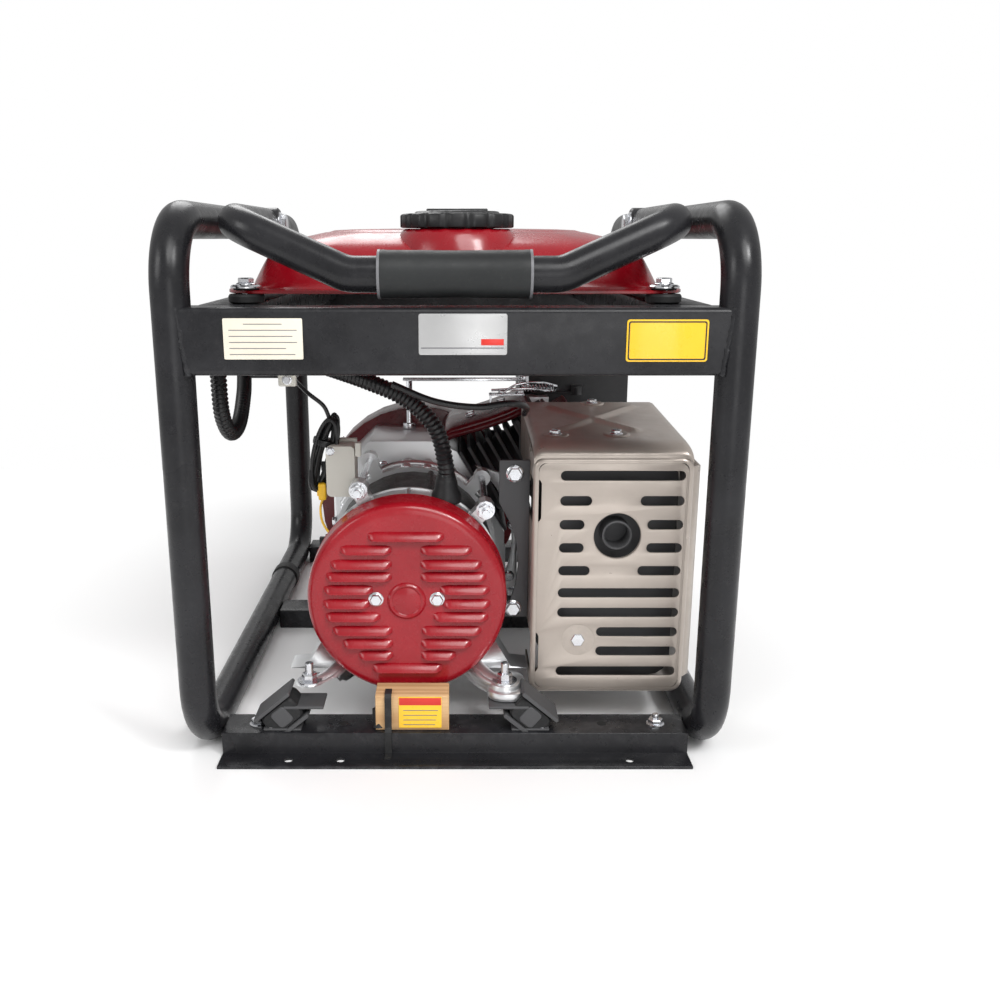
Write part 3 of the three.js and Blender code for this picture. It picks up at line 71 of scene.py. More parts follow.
Colour = tuple[float, float, float]


class Axis(Enum):
    """The direction that a flat outline is pulled along, or a profile is turned about."""

    X = "x"
    Y = "y"
    Z = "z"


class Grain(Enum):
    """How the small marks of a surface run."""

    EVEN = "even"
    BRUSHED_X = "brushed_x"
    BRUSHED_Y = "brushed_y"
    BRUSHED_Z = "brushed_z"
    CAST = "cast"
    PEEL = "peel"


# ---------------------------------------------------------------- finishes


class NodeBench:
    """Short calls for laying out one material's nodes."""

    def __init__(self, name: str) -> None:
        """Starts a material with a principled shader, or goes on with one already begun.

        Args:
            name: The material's name.
        """
        self.material = bpy.data.materials.get(name) or bpy.data.materials.new(name)
        self.material.use_nodes = True
        self.tree = self.material.node_tree
        self.shader = next(n for n in self.tree.nodes if n.type == "BSDF_PRINCIPLED")
        self.place = self.add("ShaderNodeTexCoord").outputs["Object"]

    def add(self, kind: str, **settings: object) -> bpy.types.Node:
        """Adds a node.

        Args:
            kind: The node's type name.
            settings: Properties to set on the node.

        Returns:
            The new node.
        """
        node = self.tree.nodes.new(kind)
        for key, value in settings.items():
            setattr(node, key, value)
        return node

    def join(self, output: object, target: object) -> None:
        """Links an output socket to an input socket."""
        self.tree.links.new(output, target)

    def stretched(self, scale: Point) -> object:
        """Object coordinates scaled differently along each axis."""
        node = self.add("ShaderNodeMapping")
        node.inputs["Scale"].default_value = tuple(scale)
        self.join(self.place, node.inputs["Vector"])
        return node.outputs["Vector"]

    def noise(self, scale: float, detail: float = 4.0, rough: float = 0.55, vector: object = None) -> object:
        """A noise value between 0 and 1.

        Args:
            scale: Features per metre.
            detail: Octaves.
            rough: How strong the fine octaves are.
            vector: Coordinates, or None for object coordinates.

        Returns:
            The noise's output socket.
        """
        node = self.add("ShaderNodeTexNoise")
        node.inputs["Scale"].default_value = scale
        node.inputs["Detail"].default_value = detail
        node.inputs["Roughness"].default_value = rough
        self.join(vector or self.place, node.inputs["Vector"])
        return node.outputs["Fac"]

    def cells(self, scale: float, vector: object = None) -> object:
        """A cellular distance value."""
        node = self.add("ShaderNodeTexVoronoi")
        node.inputs["Scale"].default_value = scale
        self.join(vector or self.place, node.inputs["Vector"])
        return node.outputs["Distance"]

    def bands(self, scale: float, axis: str, warp: float = 0.0) -> object:
        """Straight bands across one axis."""
        node = self.add("ShaderNodeTexWave", bands_direction=axis)
        node.inputs["Scale"].default_value = scale
        node.inputs["Distortion"].default_value = warp
        self.join(self.place, node.inputs["Vector"])
        return node.outputs["Fac"]

    def spread(
        self, value: object, low: float, high: float, to_low: float = 0.0, to_high: float = 1.0
    ) -> object:
        """Maps a value's range onto another range."""
        node = self.add("ShaderNodeMapRange")
        for key, number in (("From Min", low), ("From Max", high), ("To Min", to_low), ("To Max", to_high)):
            node.inputs[key].default_value = number
        self.join(value, node.inputs["Value"])
        return node.outputs["Result"]

    def blend(self, amount: object, first: object, second: object) -> object:
        """Mixes two colours.

        Args:
            amount: How much of the second, as a number or a socket.
            first: A colour or a socket.
            second: A colour or a socket.

        Returns:
            The mixed colour's output socket.
        """
        node = self.add("ShaderNodeMix", data_type="RGBA")
        for index, value in ((6, first), (7, second)):
            if isinstance(value, tuple):
                node.inputs[index].default_value = (*value, 1.0)
            else:
                self.join(value, node.inputs[index])
        if isinstance(amount, float):
            node.inputs[0].default_value = amount
        else:
            self.join(amount, node.inputs[0])
        return node.outputs[2]

    def edges(self, low: float = 0.52, high: float = 0.6) -> object:
        """High on outward edges, where paint wears first."""
        node = self.add("ShaderNodeNewGeometry")
        return self.spread(node.outputs["Pointiness"], low, high)

    def product(self, first: object, second: object) -> object:
        """The product of two values."""
        node = self.add("ShaderNodeMath", operation="MULTIPLY")
        for index, value in enumerate((first, second)):
            if isinstance(value, float):
                node.inputs[index].default_value = value
            else:
                self.join(value, node.inputs[index])
        return node.outputs[0]

    def bump(self, height: object, depth_mm: float, strength: float = 0.6) -> None:
        """Raises the surface by a height value, on top of any earlier bump.

        Args:
            height: The height's socket.
            depth_mm: How high a value of one stands.
            strength: How strongly it shows.
        """
        node = self.add("ShaderNodeBump")
        node.inputs["Distance"].default_value = depth_mm * MM
        node.inputs["Strength"].default_value = strength
        self.join(height, node.inputs["Height"])
        normal = self.shader.inputs["Normal"]
        if normal.is_linked:
            self.join(normal.links[0].from_socket, node.inputs["Normal"])
        self.join(node.outputs["Normal"], normal)


@dataclass(frozen=True)
class Finish:
    """A surface as a maker would order it: base colour, gloss, grain and wear."""

    name: str
    colour: Colour
    roughness: float = 0.45
    metallic: float = 0.0
    grain: Grain = Grain.EVEN
    grain_scale: float = 900.0
    grain_depth: float = 0.05
    mottle: float = 0.12
    wear: float = 0.0
    wear_colour: Colour = (0.35, 0.34, 0.33)
    coat: float = 0.0
    dust: float = 0.0
    specular: float = 0.5

    def material(self) -> bpy.types.Material:
        """The finish's material, made the first time it is asked for."""
        made = bpy.data.materials.get(self.name)
        return made or self._lay_out()

    def _grain_place(self, bench: NodeBench) -> object:
        """Coordinates that stretch brushed marks along their direction."""
        stretch = {
            Grain.BRUSHED_X: (0.03, 1.0, 1.0),
            Grain.BRUSHED_Y: (1.0, 0.03, 1.0),
            Grain.BRUSHED_Z: (1.0, 1.0, 0.03),
        }.get(self.grain)
        return bench.stretched(stretch) if stretch else bench.place

    def _base_colour(self, bench: NodeBench) -> object:
        """The mottled base colour with worn edges and dust.

        Args:
            bench: The material's bench.

        Returns:
            The colour's output socket.
        """
        dark = tuple(c * (1.0 - self.mottle) for c in self.colour)
        light = tuple(min(1.0, c * (1.0 + self.mottle) + 0.004) for c in self.colour)
        patches = bench.spread(bench.noise(14.0, 6.0, 0.6), 0.3, 0.7)
        colour = bench.blend(patches, dark, light)
        if self.wear:
            rub = bench.spread(bench.noise(90.0, 5.0, 0.7), 0.48, 0.62)
            amount = bench.product(bench.product(bench.edges(), rub), self.wear)
            colour = bench.blend(amount, colour, self.wear_colour)
        if self.dust:
            specks = bench.spread(bench.noise(260.0, 6.0, 0.75), 0.55, 0.75, 0.0, self.dust)
            colour = bench.blend(specks, colour, (0.42, 0.39, 0.35))
        return colour

    def _lay_out(self) -> bpy.types.Material:
        """Builds the nodes."""
        bench = NodeBench(self.name)
        shader = bench.shader
        shader.inputs["Metallic"].default_value = self.metallic
        shader.inputs["Coat Weight"].default_value = self.coat
        shader.inputs["Coat Roughness"].default_value = 0.12
        shader.inputs["Specular IOR Level"].default_value = self.specular
        bench.join(self._base_colour(bench), shader.inputs["Base Color"])
        place = self._grain_place(bench)
        marks = bench.noise(self.grain_scale, 5.0, 0.6, place)
        low, high = max(0.03, self.roughness - 0.09), min(1.0, self.roughness + 0.09)
        smear = bench.noise(55.0, 5.0, 0.65)
        bench.join(bench.spread(smear, 0.3, 0.7, low, high), shader.inputs["Roughness"])
        bench.bump(marks, self.grain_depth)
        if self.grain is Grain.CAST:
            bench.bump(bench.cells(420.0), 0.18, 0.5)
            bench.bump(bench.noise(60.0, 3.0), 0.5, 0.3)
        if self.grain is Grain.PEEL:
            bench.bump(bench.noise(240.0, 2.0, 0.4), 0.07, 0.35)
        return bench.material


@dataclass(frozen=True)
class BandedFinish(Finish):
    """A finish crossed by fine straight bands, such as stacked laminations or a wound coil."""

    band_axis: str = "Y"
    band_scale: float = 300.0
    band_depth: float = 0.3

    def _lay_out(self) -> bpy.types.Material:
        """Adds the bands to the plain finish."""
        super()._lay_out()
        bench = NodeBench(self.name)
        bench.bump(bench.bands(self.band_scale, self.band_axis, 0.15), self.band_depth, 0.8)
        return bench.material


@dataclass(frozen=True)
class WoodFinish(Finish):
    """Sawn softwood with long growth rings and saw marks."""

    late_colour: Colour = (0.42, 0.22, 0.09)

    def _base_colour(self, bench: NodeBench) -> object:
        """Rings that run along X.

        Args:
            bench: The material's bench.

        Returns:
            The colour's output socket.
        """
        place = bench.stretched((0.12, 1.0, 1.0))
        rings = bench.add("ShaderNodeTexWave", wave_type="RINGS", rings_direction="X")
        rings.inputs["Scale"].default_value = 34.0
        rings.inputs["Distortion"].default_value = 5.0
        rings.inputs["Detail"].default_value = 4.0
        bench.join(place, rings.inputs["Vector"])
        grown = bench.blend(
            bench.spread(rings.outputs["Fac"], 0.2, 1.0, 0.0, 0.6), self.colour, self.late_colour
        )
        fibres = bench.noise(700.0, 5.0, 0.7, bench.stretched((0.05, 1.0, 1.0)))
        return bench.blend(bench.spread(fibres, 0.45, 0.75, 0.0, 0.45), grown, self.late_colour)


FRAME_PAINT = Finish(
    "frame_satin_black", (0.012, 0.012, 0.014), 0.3, 0.0, Grain.PEEL, 700, 0.03, 0.3, 0.35,
    (0.09, 0.09, 0.095), 0.0, 0.03, 0.32,
)
RED_ENAMEL = Finish(
    "red_enamel", (0.29, 0.002, 0.009), 0.26, 0.0, Grain.PEEL, 600, 0.02, 0.12, 0.12, (0.2, 0.01, 0.01),
    0.3, 0.01, 0.4,
)
DARK_ENAMEL = Finish(
    "dark_red_enamel", (0.10, 0.002, 0.006), 0.3, 0.0, Grain.PEEL, 600, 0.03, 0.15, 0.2, (0.14, 0.02, 0.02),
    0.2, 0.04, 0.35,
)
SHIELD_STEEL = Finish(
    "shield_silver", (0.45, 0.395, 0.35), 0.36, 0.5, Grain.PEEL, 900, 0.02, 0.06, 0.2, (0.3, 0.27, 0.24),
    0.15, 0.02,
)
CAST_ALLOY = Finish(
    "cast_alloy", (0.47, 0.465, 0.455), 0.52, 0.6, Grain.CAST, 900, 0.12, 0.16, 0.3, (0.75, 0.75, 0.76),
    0.0, 0.12,
)
MACHINED = Finish(
    "machined_steel", (0.5, 0.5, 0.51), 0.28, 1.0, Grain.BRUSHED_Y, 1800, 0.03, 0.1, 0.2, (0.7, 0.7, 0.7)
)
ZINC = Finish(
    "zinc_plate", (0.72, 0.73, 0.76), 0.22, 1.0, Grain.EVEN, 1600, 0.02, 0.12, 0.2, (0.45, 0.43, 0.38)
)
HEAT_BLACK = Finish(
    "heat_black", (0.010, 0.010, 0.011), 0.5, 0.1, Grain.CAST, 1100, 0.08, 0.25, 0.25, (0.1, 0.095, 0.09),
    0.0, 0.06, 0.35,
)
LAMINATIONS = BandedFinish(
    "stator_laminations", (0.03, 0.028, 0.027), 0.42, 0.6, Grain.EVEN, 1500, 0.04, 0.25, 0.3,
    (0.2, 0.17, 0.15), 0.0, 0.06, 0.5, "Y", 260.0, 0.25,
)
COPPER = BandedFinish(
    "enamelled_copper", (0.4, 0.13, 0.04), 0.3, 0.8, Grain.EVEN, 900, 0.05, 0.2, 0.0, (0, 0, 0), 0.3, 0.0,
    0.5, "X", 420.0, 0.4,
)
RUBBER = Finish(
    "moulded_rubber", (0.013, 0.0132, 0.0137), 0.6, 0.0, Grain.EVEN, 2200, 0.06, 0.2, 0.25,
    (0.05, 0.05, 0.05), 0.0, 0.05, 0.35,
)
GRIP_RUBBER = Finish(
    "grip_rubber", (0.014, 0.0155, 0.016), 0.5, 0.0, Grain.EVEN, 2600, 0.08, 0.18, 0.2, (0.05, 0.05, 0.05),
    0.0, 0.03, 0.35,
)
PLASTIC = Finish(
    "black_plastic", (0.011, 0.011, 0.012), 0.4, 0.0, Grain.EVEN, 3000, 0.05, 0.15, 0.15,
    (0.04, 0.04, 0.04), 0.0, 0.03, 0.4,
)
CONDUIT = Finish(
    "conduit_plastic", (0.008, 0.008, 0.009), 0.32, 0.0, Grain.EVEN, 1800, 0.03, 0.15, 0.1,
    (0.04, 0.04, 0.04), 0.0, 0.03, 0.45,
)
GREY_PLASTIC = Finish(
    "grey_plastic", (0.4, 0.38, 0.32), 0.5, 0.0, Grain.EVEN, 2400, 0.05, 0.08, 0.1, (0.25, 0.24, 0.2), 0.0,
    0.08,
)
YELLOW_PLASTIC = Finish("yellow_plastic", (0.85, 0.5, 0.02), 0.4, 0.0, Grain.EVEN, 2400, 0.03, 0.06)
RED_PLASTIC = Finish("red_plastic", (0.6, 0.02, 0.02), 0.35, 0.0, Grain.EVEN, 2400, 0.03, 0.06)
WOOD = WoodFinish("sawn_softwood", (0.66, 0.43, 0.22), 0.72, 0.0, Grain.BRUSHED_X, 700, 0.25, 0.15)
CREAM_FILM = Finish(
    "cream_film", (0.8, 0.74, 0.62), 0.35, 0.0, Grain.EVEN, 900, 0.02, 0.05, 0.0, (0, 0, 0), 0.2, 0.03
)
SILVER_FILM = Finish(
    "silver_film", (0.5, 0.5, 0.5), 0.32, 0.4, Grain.EVEN, 1200, 0.02, 0.05, 0.0, (0, 0, 0), 0.2, 0.02
)
YELLOW_FILM = Finish(
    "yellow_film", (0.92, 0.55, 0.02), 0.3, 0.0, Grain.EVEN, 900, 0.02, 0.05, 0.0, (0, 0, 0), 0.3, 0.02
)
BLACK_FILM = Finish("black_film", (0.015, 0.015, 0.015), 0.35, 0.0, Grain.EVEN, 900, 0.02, 0.1)
GREY_FILM = Finish("grey_film", (0.16, 0.16, 0.17), 0.4, 0.0, Grain.EVEN, 900, 0.02, 0.1)
RED_FILM = Finish("red_film", (0.62, 0.03, 0.02), 0.35, 0.0, Grain.EVEN, 900, 0.02, 0.08)
DIAL_FACE = Finish(
    "dial_face", (0.82, 0.82, 0.78), 0.3, 0.0, Grain.EVEN, 900, 0.01, 0.03, 0.0, (0, 0, 0), 0.6
)
# Flat black for painted shadow: thin strips, discs and bars laid where only shade falls, in louvre mouths,
# rail holes and screw slots.
PAINTED_SHADOW = Finish("shadow_black", (0.004, 0.004, 0.004), 0.8, 0.0, Grain.EVEN, 900, 0.02, 0.2)

# ---------------------------------------------------------------- making meshes


def arc(cx: float, cy: float, radius: float, start: float, end: float, steps: int) -> list[
    tuple[float, float]
]:
    """Points along an arc.

    Args:
        cx: Centre, first coordinate.
        cy: Centre, second coordinate.
        radius: Radius.
        start: First angle in degrees.
        end: Last angle in degrees.
        steps: Number of stretches.

    Returns:
        The points from the first angle to the last.
    """
    angles = [math.radians(start + (end - start) * i / steps) for i in range(steps + 1)]
    return [(cx + radius * math.cos(a), cy + radius * math.sin(a)) for a in angles]


def rounded(cx: float, cy: float, width: float, height: float, radius: float, steps: int = 8) -> list[
    tuple[float, float]
]:
    """A rectangle with round corners, anticlockwise.

    Args:
        cx: Centre, first coordinate.
        cy: Centre, second coordinate.
        width: Full size along the first coordinate.
        height: Full size along the second coordinate.
        radius: Corner radius.
        steps: Stretches per corner.

    Returns:
        The outline's points.
    """
    x, y = width / 2 - radius, height / 2 - radius
    corners = ((x, y, 0), (-x, y, 90), (-x, -y, 180), (x, -y, 270))
    return [p for dx, dy, turn in corners for p in arc(cx + dx, cy + dy, radius, turn, turn + 90, steps)]


def bent(corners: Sequence[Point], bend: float, steps: int = 8, closed: bool = False) -> list[Vector]:
    """A line through corner points with each corner rounded off.

    Args:
        corners: The corner points.
        bend: Bend radius.
        steps: Stretches per bend.
        closed: Whether the last corner joins the first.

    Returns:
        The points of the rounded line.
    """
    points = [Vector(c) for c in corners]
    count = len(points)
    line: list[Vector] = [] if closed else [points[0]]
    for i in range(count) if closed else range(1, count - 1):
        back = (points[i - 1] - points[i]).normalized()
        ahead = (points[(i + 1) % count] - points[i]).normalized()
        half = back.angle(ahead) / 2
        centre = points[i] + (back + ahead).normalized() * (bend / math.sin(half))
        first = points[i] + back * (bend / math.tan(half)) - centre
        last = points[i] + ahead * (bend / math.tan(half)) - centre
        line += [centre + first.slerp(last, k / steps) * bend for k in range(steps + 1)]
    return line if closed else [*line, points[-1]]


def smooth_line(stops: Sequence[Point], per_span: int = 12) -> list[Vector]:
    """A smooth line through points, as a cord lies.

    Args:
        stops: Points that the line passes through.
        per_span: Stretches between two stops.

    Returns:
        The line's points.
    """
    points = [Vector(p) for p in stops]
    padded = [points[0] * 2 - points[1], *points, points[-1] * 2 - points[-2]]
    line: list[Vector] = []
    for i in range(1, len(padded) - 2):
        a, b, c, d = padded[i - 1 : i + 3]
        for k in range(per_span):
            t = k / per_span
            line.append(
                0.5 * (
                    2 * b + (c - a) * t + (2 * a - 5 * b + 4 * c - d) * t * t
                    + (3 * b - a - 3 * c + d) * t**3
                )
            )
    return [*line, points[-1]]


def even_line(line: Sequence[Vector], step: float) -> list[Vector]:
    """The same line with evenly spaced points.

    Args:
        line: The line.
        step: Wanted spacing.

    Returns:
        Points about that far apart, ends included.
    """
    lengths = [0.0]
    for a, b in zip(line, line[1:]):
        lengths.append(lengths[-1] + (b - a).length)
    count = max(2, round(lengths[-1] / step))
    made, i = [], 0
    for k in range(count + 1):
        want = lengths[-1] * k / count
        while i < len(line) - 2 and lengths[i + 1] < want:
            i += 1
        share = (want - lengths[i]) / max(1e-9, lengths[i + 1] - lengths[i])
        made.append(line[i].lerp(line[i + 1], share))
    return made


class Maker:
    """Builds one piece's mesh in millimetres out of turned, bent, pulled and lofted shapes."""

    def __init__(self, name: str, *finishes: Finish) -> None:
        """Starts an empty piece.

        Args:
            name: The piece's name.
            finishes: Its finishes; shapes pick one by number.
        """
        self.name = name
        self.finishes = finishes
        self.mesh = bmesh.new()

    def _shape(self, points: Iterable[Point], faces: Iterable[Sequence[int]], finish: int) -> list[
        bmesh.types.BMFace
    ]:
        """Adds points and faces."""
        made = [self.mesh.verts.new(Vector(p)) for p in points]
        added = []
        for face in faces:
            new = self.mesh.faces.new([made[i] for i in face])
            new.material_index = finish
            added.append(new)
        return added

    def loft(
        self, rings: Sequence[Sequence[Point]], finish: int = 0, caps: tuple[bool, bool] = (True, True),
        round_trip: bool = False,
    ) -> None:
        """Joins rings of points, each with the same count, with quads.

        Args:
            rings: Closed rings of points.
            finish: The finish's number.
            caps: Whether the first and last rings are filled.
            round_trip: Whether the last ring joins the first.
        """
        n = len(rings[0])
        points = [p for ring in rings for p in ring]
        spans = range(len(rings)) if round_trip else range(len(rings) - 1)
        faces: list[Sequence[int]] = []
        for r in spans:
            low, high = r * n, ((r + 1) % len(rings)) * n
            faces += [(low + i, low + (i + 1) % n, high + (i + 1) % n, high + i) for i in range(n)]
        if not round_trip and caps[0]:
            faces.append(tuple(reversed(range(n))))
        if not round_trip and caps[1]:
            faces.append(tuple(range((len(rings) - 1) * n, len(rings) * n)))
        self._shape(points, faces, finish)

    def turned(
        self, centre: Point, way: Point, profile: Sequence[tuple[float, float]], sides: int = 48,
        finish: int = 0, wave: Callable[[float, float], float] | None = None, hollow: bool = False,
    ) -> None:
        """Turns a profile round an axis.

        Args:
            centre: A point on the axis, from which the profile's distances run.
            way: The axis's direction.
            profile: (radius, distance) pairs; a radius of zero closes an end.
            sides: Points round the axis.
            finish: The finish's number.
            wave: Adds to the radius at an angle and a distance along, for knurls and flutes.
            hollow: Whether the profile is a closed loop, for a ring with a hole.
        """
        turn = Vector((0, 0, 1)).rotation_difference(Vector(way).normalized())
        base = Vector(centre)
        rings = []
        for radius, along in profile:
            ring = []
            for i in range(sides):
                angle = math.tau * i / sides
                r = max(0.01, radius + (wave(angle, along) if wave else 0.0))
                ring.append(base + turn @ Vector((r * math.cos(angle), r * math.sin(angle), along)))
            rings.append(ring)
        self.loft(rings, finish, round_trip=hollow)

    def rod(
        self, start: Point, end: Point, radius: float, end_radius: float | None = None, sides: int = 24,
        finish: int = 0, chamfer: float = 0.6,
    ) -> None:
        """A round bar with broken edges.

        Args:
            start: One end's centre.
            end: The other end's centre.
            radius: Radius at the start.
            end_radius: Radius at the end, if it tapers.
            sides: Points round it.
            finish: The finish's number.
            chamfer: Size of the broken edges.
        """
        a, b = Vector(start), Vector(end)
        length = (b - a).length
        last = radius if end_radius is None else end_radius
        c = min(chamfer, radius * 0.4, last * 0.4, length * 0.3)
        self.turned(
            a, b - a, [(radius - c, 0), (radius, c), (last, length - c), (last - c, length)], sides, finish
        )

    def tube(
        self, line: Sequence[Vector], radius: float | Sequence[float], sides: int = 20, finish: int = 0,
        closed: bool = False,
    ) -> None:
        """A round tube along a line, without twist.

        Args:
            line: The centre line.
            radius: One radius, or one per point.
            sides: Points round it.
            finish: The finish's number.
            closed: Whether it joins itself.
        """
        count = len(line)
        ways = []
        for i in range(count):
            before = line[i] - line[i - 1] if i or closed else line[1] - line[0]
            after = line[(i + 1) % count] - line[i] if i < count - 1 or closed else line[i] - line[i - 1]
            ways.append((before.normalized() + after.normalized()).normalized())
        side = ways[0].orthogonal().normalized()
        rings = []
        for i, (centre, way) in enumerate(zip(line, ways)):
            if i:
                side = (ways[i - 1].rotation_difference(way) @ side).normalized()
            other = way.cross(side)
            r = radius if isinstance(radius, (int, float)) else radius[i]
            rings.append(
                [
                    centre + (side * math.cos(a) + other * math.sin(a)) * r
                    for a in (math.tau * k / sides for k in range(sides))
                ]
            )
        if closed:
            rings.append(rings[0])
        self.loft(rings, finish, (not closed, not closed))

    def box(self, low: Point, high: Point, edge: float = 1.0, finish: int = 0, steps: int = 2) -> None:
        """A block with rounded edges.

        Args:
            low: Lowest corner.
            high: Highest corner.
            edge: Edge radius.
            finish: The finish's number.
            steps: Bevel steps.
        """
        a, b = Vector(low), Vector(high)
        corners = [(x, y, z) for x in (a.x, b.x) for y in (a.y, b.y) for z in (a.z, b.z)]
        sides = ((0, 1, 3, 2), (4, 6, 7, 5), (0, 4, 5, 1), (2, 3, 7, 6), (0, 2, 6, 4), (1, 5, 7, 3))
        faces = self._shape(corners, sides, finish)
        if edge > 0:
            size = min(edge, min(b - a) * 0.45)
            lines = list(dict.fromkeys(e for f in faces for e in f.edges))
            bmesh.ops.bevel(
                self.mesh, geom=lines, offset=size, segments=steps, profile=0.5, affect="EDGES", material=-1
            )

    def slab(
        self, axis: Axis, outline: Sequence[tuple[float, float]], start: float, end: float,
        holes: Sequence[Sequence[tuple[float, float]]] = (), edge: float = 0.5, finish: int = 0,
    ) -> None:
        """A flat plate with holes and rounded edges, pulled along an axis.

        Args:
            axis: The axis it is pulled along. The outline's coordinates are the other two, in X, Y, Z order.
            outline: The plate's outline, anticlockwise.
            start: Where the plate starts along the axis.
            end: Where it ends.
            holes: Outlines cut out of it.
            edge: Edge radius.
            finish: The finish's number.
        """
        curve = bpy.data.curves.new("outline", "CURVE")
        curve.dimensions = "2D"
        curve.fill_mode = "BOTH"
        thickness = end - start
        edge = min(edge, thickness * 0.45)
        for flip, points in [(False, outline), *((True, h) for h in holes)]:
            area = sum(a[0] * b[1] - b[0] * a[1] for a, b in zip(points, [*points[1:], points[0]]))
            ordered = list(points) if (area > 0) != flip else list(reversed(points))
            spline = curve.splines.new("POLY")
            spline.points.add(len(ordered) - 1)
            for target, (x, y) in zip(spline.points, ordered):
                target.co = (x, y, 0.0, 1.0)
            spline.use_cyclic_u = True
        curve.extrude = max(0.01, thickness / 2 - edge)
        curve.bevel_depth = edge
        curve.bevel_resolution = 1
        curve.offset = -edge
        temporary = bpy.data.objects.new("outline", curve)
        bpy.context.scene.collection.objects.link(temporary)
        bpy.context.view_layer.update()
        graph = bpy.context.evaluated_depsgraph_get()
        filled = bpy.data.meshes.new_from_object(temporary.evaluated_get(graph))
        middle = (start + end) / 2
        place = {
            Axis.X: Matrix(((0, 0, 1, middle), (1, 0, 0, 0), (0, 1, 0, 0), (0, 0, 0, 1))),
            Axis.Y: Matrix(((1, 0, 0, 0), (0, 0, -1, middle), (0, 1, 0, 0), (0, 0, 0, 1))),
            Axis.Z: Matrix(((1, 0, 0, 0), (0, 1, 0, 0), (0, 0, 1, middle), (0, 0, 0, 1))),
        }[axis]
        self.merge(filled, place, finish)
        bpy.data.objects.remove(temporary)
        bpy.data.curves.remove(curve)

    def merge(self, other: bpy.types.Mesh, place: Matrix, finish: int) -> None:
        """Takes in another mesh and throws it away.

        Args:
            other: The mesh to take in.
            place: Where it goes.
            finish: The finish's number.
        """
        other.transform(place)
        for polygon in other.polygons:
            polygon.material_index = finish
        self.mesh.from_mesh(other)
        bpy.data.meshes.remove(other)

    def hexagon(self, start: Point, end: Point, across: float, finish: int = 0) -> None:
        """A nut or bolt head with a turned-down corner at each end."""
        a, b = Vector(start), Vector(end)
        length = (b - a).length
        corner = across / 2 / math.cos(math.pi / 6)
        profile = [
            (corner * 0.9, 0), (corner, length * 0.15), (corner, length * 0.8), (corner * 0.88, length)
        ]
        self.turned(a, b - a, profile, 6, finish)

    def bolt(self, seat: Point, way: Point, size: float, finish: int = 0, shank: float = 6.0) -> None:
        """A flanged hexagon bolt head with a dished top, standing on its seat.

        Args:
            seat: Where the head meets the piece.
            way: The direction that the head faces.
            size: Thread diameter.
            finish: The finish's number.
            shank: How far the shank runs into the piece.
        """
        at, out = Vector(seat), Vector(way).normalized()
        self.rod(at - out * shank, at, size / 2, finish=finish, sides=16)
        self.turned(
            at, out, [(size * 1.15, 0), (size * 1.15, size * 0.1), (size * 0.95, size * 0.22)], 24, finish
        )
        self.hexagon(at + out * size * 0.2, at + out * size * 0.75, size * 1.62, finish)

    def finish(
        self, body: str, replaces: Sequence[str] = (), slot: str = "", crease: float = 32.0
    ) -> bpy.types.Object:
        """Ends the mesh, dresses it and hangs it on its body.

        Args:
            body: The CAD body that it moves with.
            replaces: CAD nodes that it stands for.
            slot: The record's material slot; not used.
            crease: Edges sharper than this angle stay sharp.

        Returns:
            The piece.
        """
        bmesh.ops.scale(self.mesh, vec=(MM, MM, MM), verts=self.mesh.verts)
        bmesh.ops.remove_doubles(self.mesh, verts=self.mesh.verts, dist=1e-6)
        bmesh.ops.recalc_face_normals(self.mesh, faces=self.mesh.faces)
        mesh = bpy.data.meshes.new(self.name)
        self.mesh.to_mesh(mesh)
        self.mesh.free()
        for finish in self.finishes:
            mesh.materials.append(finish.material())
        mesh.shade_smooth()
        mesh.set_sharp_from_angle(angle=math.radians(crease))
        piece = bpy.data.objects.new(self.name, mesh)
        bpy.context.scene.collection.objects.link(piece)
        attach(piece, body)
        if replaces:
            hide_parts(*replaces)
        LOG.info("%s: %d faces", self.name, len(mesh.polygons))
        return piece


def span(node: str) -> tuple[Vector, Vector]:
    """A CAD node's lowest and highest corners, in millimetres."""
    low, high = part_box(node)
    return low / MM, high / MM


def middle(node: str) -> Vector:
    """The centre of a CAD node's box, in millimetres."""
    low, high = span(node)
    return (low + high) / 2


# ---------------------------------------------------------------- shared sizes

FRAME = "frame"
HANDLE = "handle"
SHAFT = Vector((-49.0, 0.0, 150.0))
TILT = math.radians(30.0)
JOINTS: dict[str, dict] = {}


def pivot(joint: str) -> Vector:
    """A joint's place, in millimetres."""
    return Vector(JOINTS[joint]["pos_m"]) / MM


def round_shaft(angle: float, radius: float, y: float = 0.0) -> Vector:
    """A point round the shaft's axis at an angle in degrees."""
    turn = math.radians(angle)
    return SHAFT + Vector((radius * math.cos(turn), y, radius * math.sin(turn)))


def by_cylinder(along: float, across: float, y: float) -> Vector:
    """A point beside the leaning cylinder: a distance along its axis and one across it."""
    x = along * math.cos(TILT) - across * math.sin(TILT)
    z = along * math.sin(TILT) + across * math.cos(TILT)
    return SHAFT + Vector((x, y, z))


def paint(maker: Maker, finish: int, test: Callable[[Vector], bool]) -> None:
    """Gives another finish to the faces whose centres pass a test.

    Args:
        maker: The piece.
        finish: The finish's number.
        test: Says whether a face centre, in millimetres, takes the finish.
    """
    for face in maker.mesh.faces:
        if test(face.calc_center_median()):
            face.material_index = finish


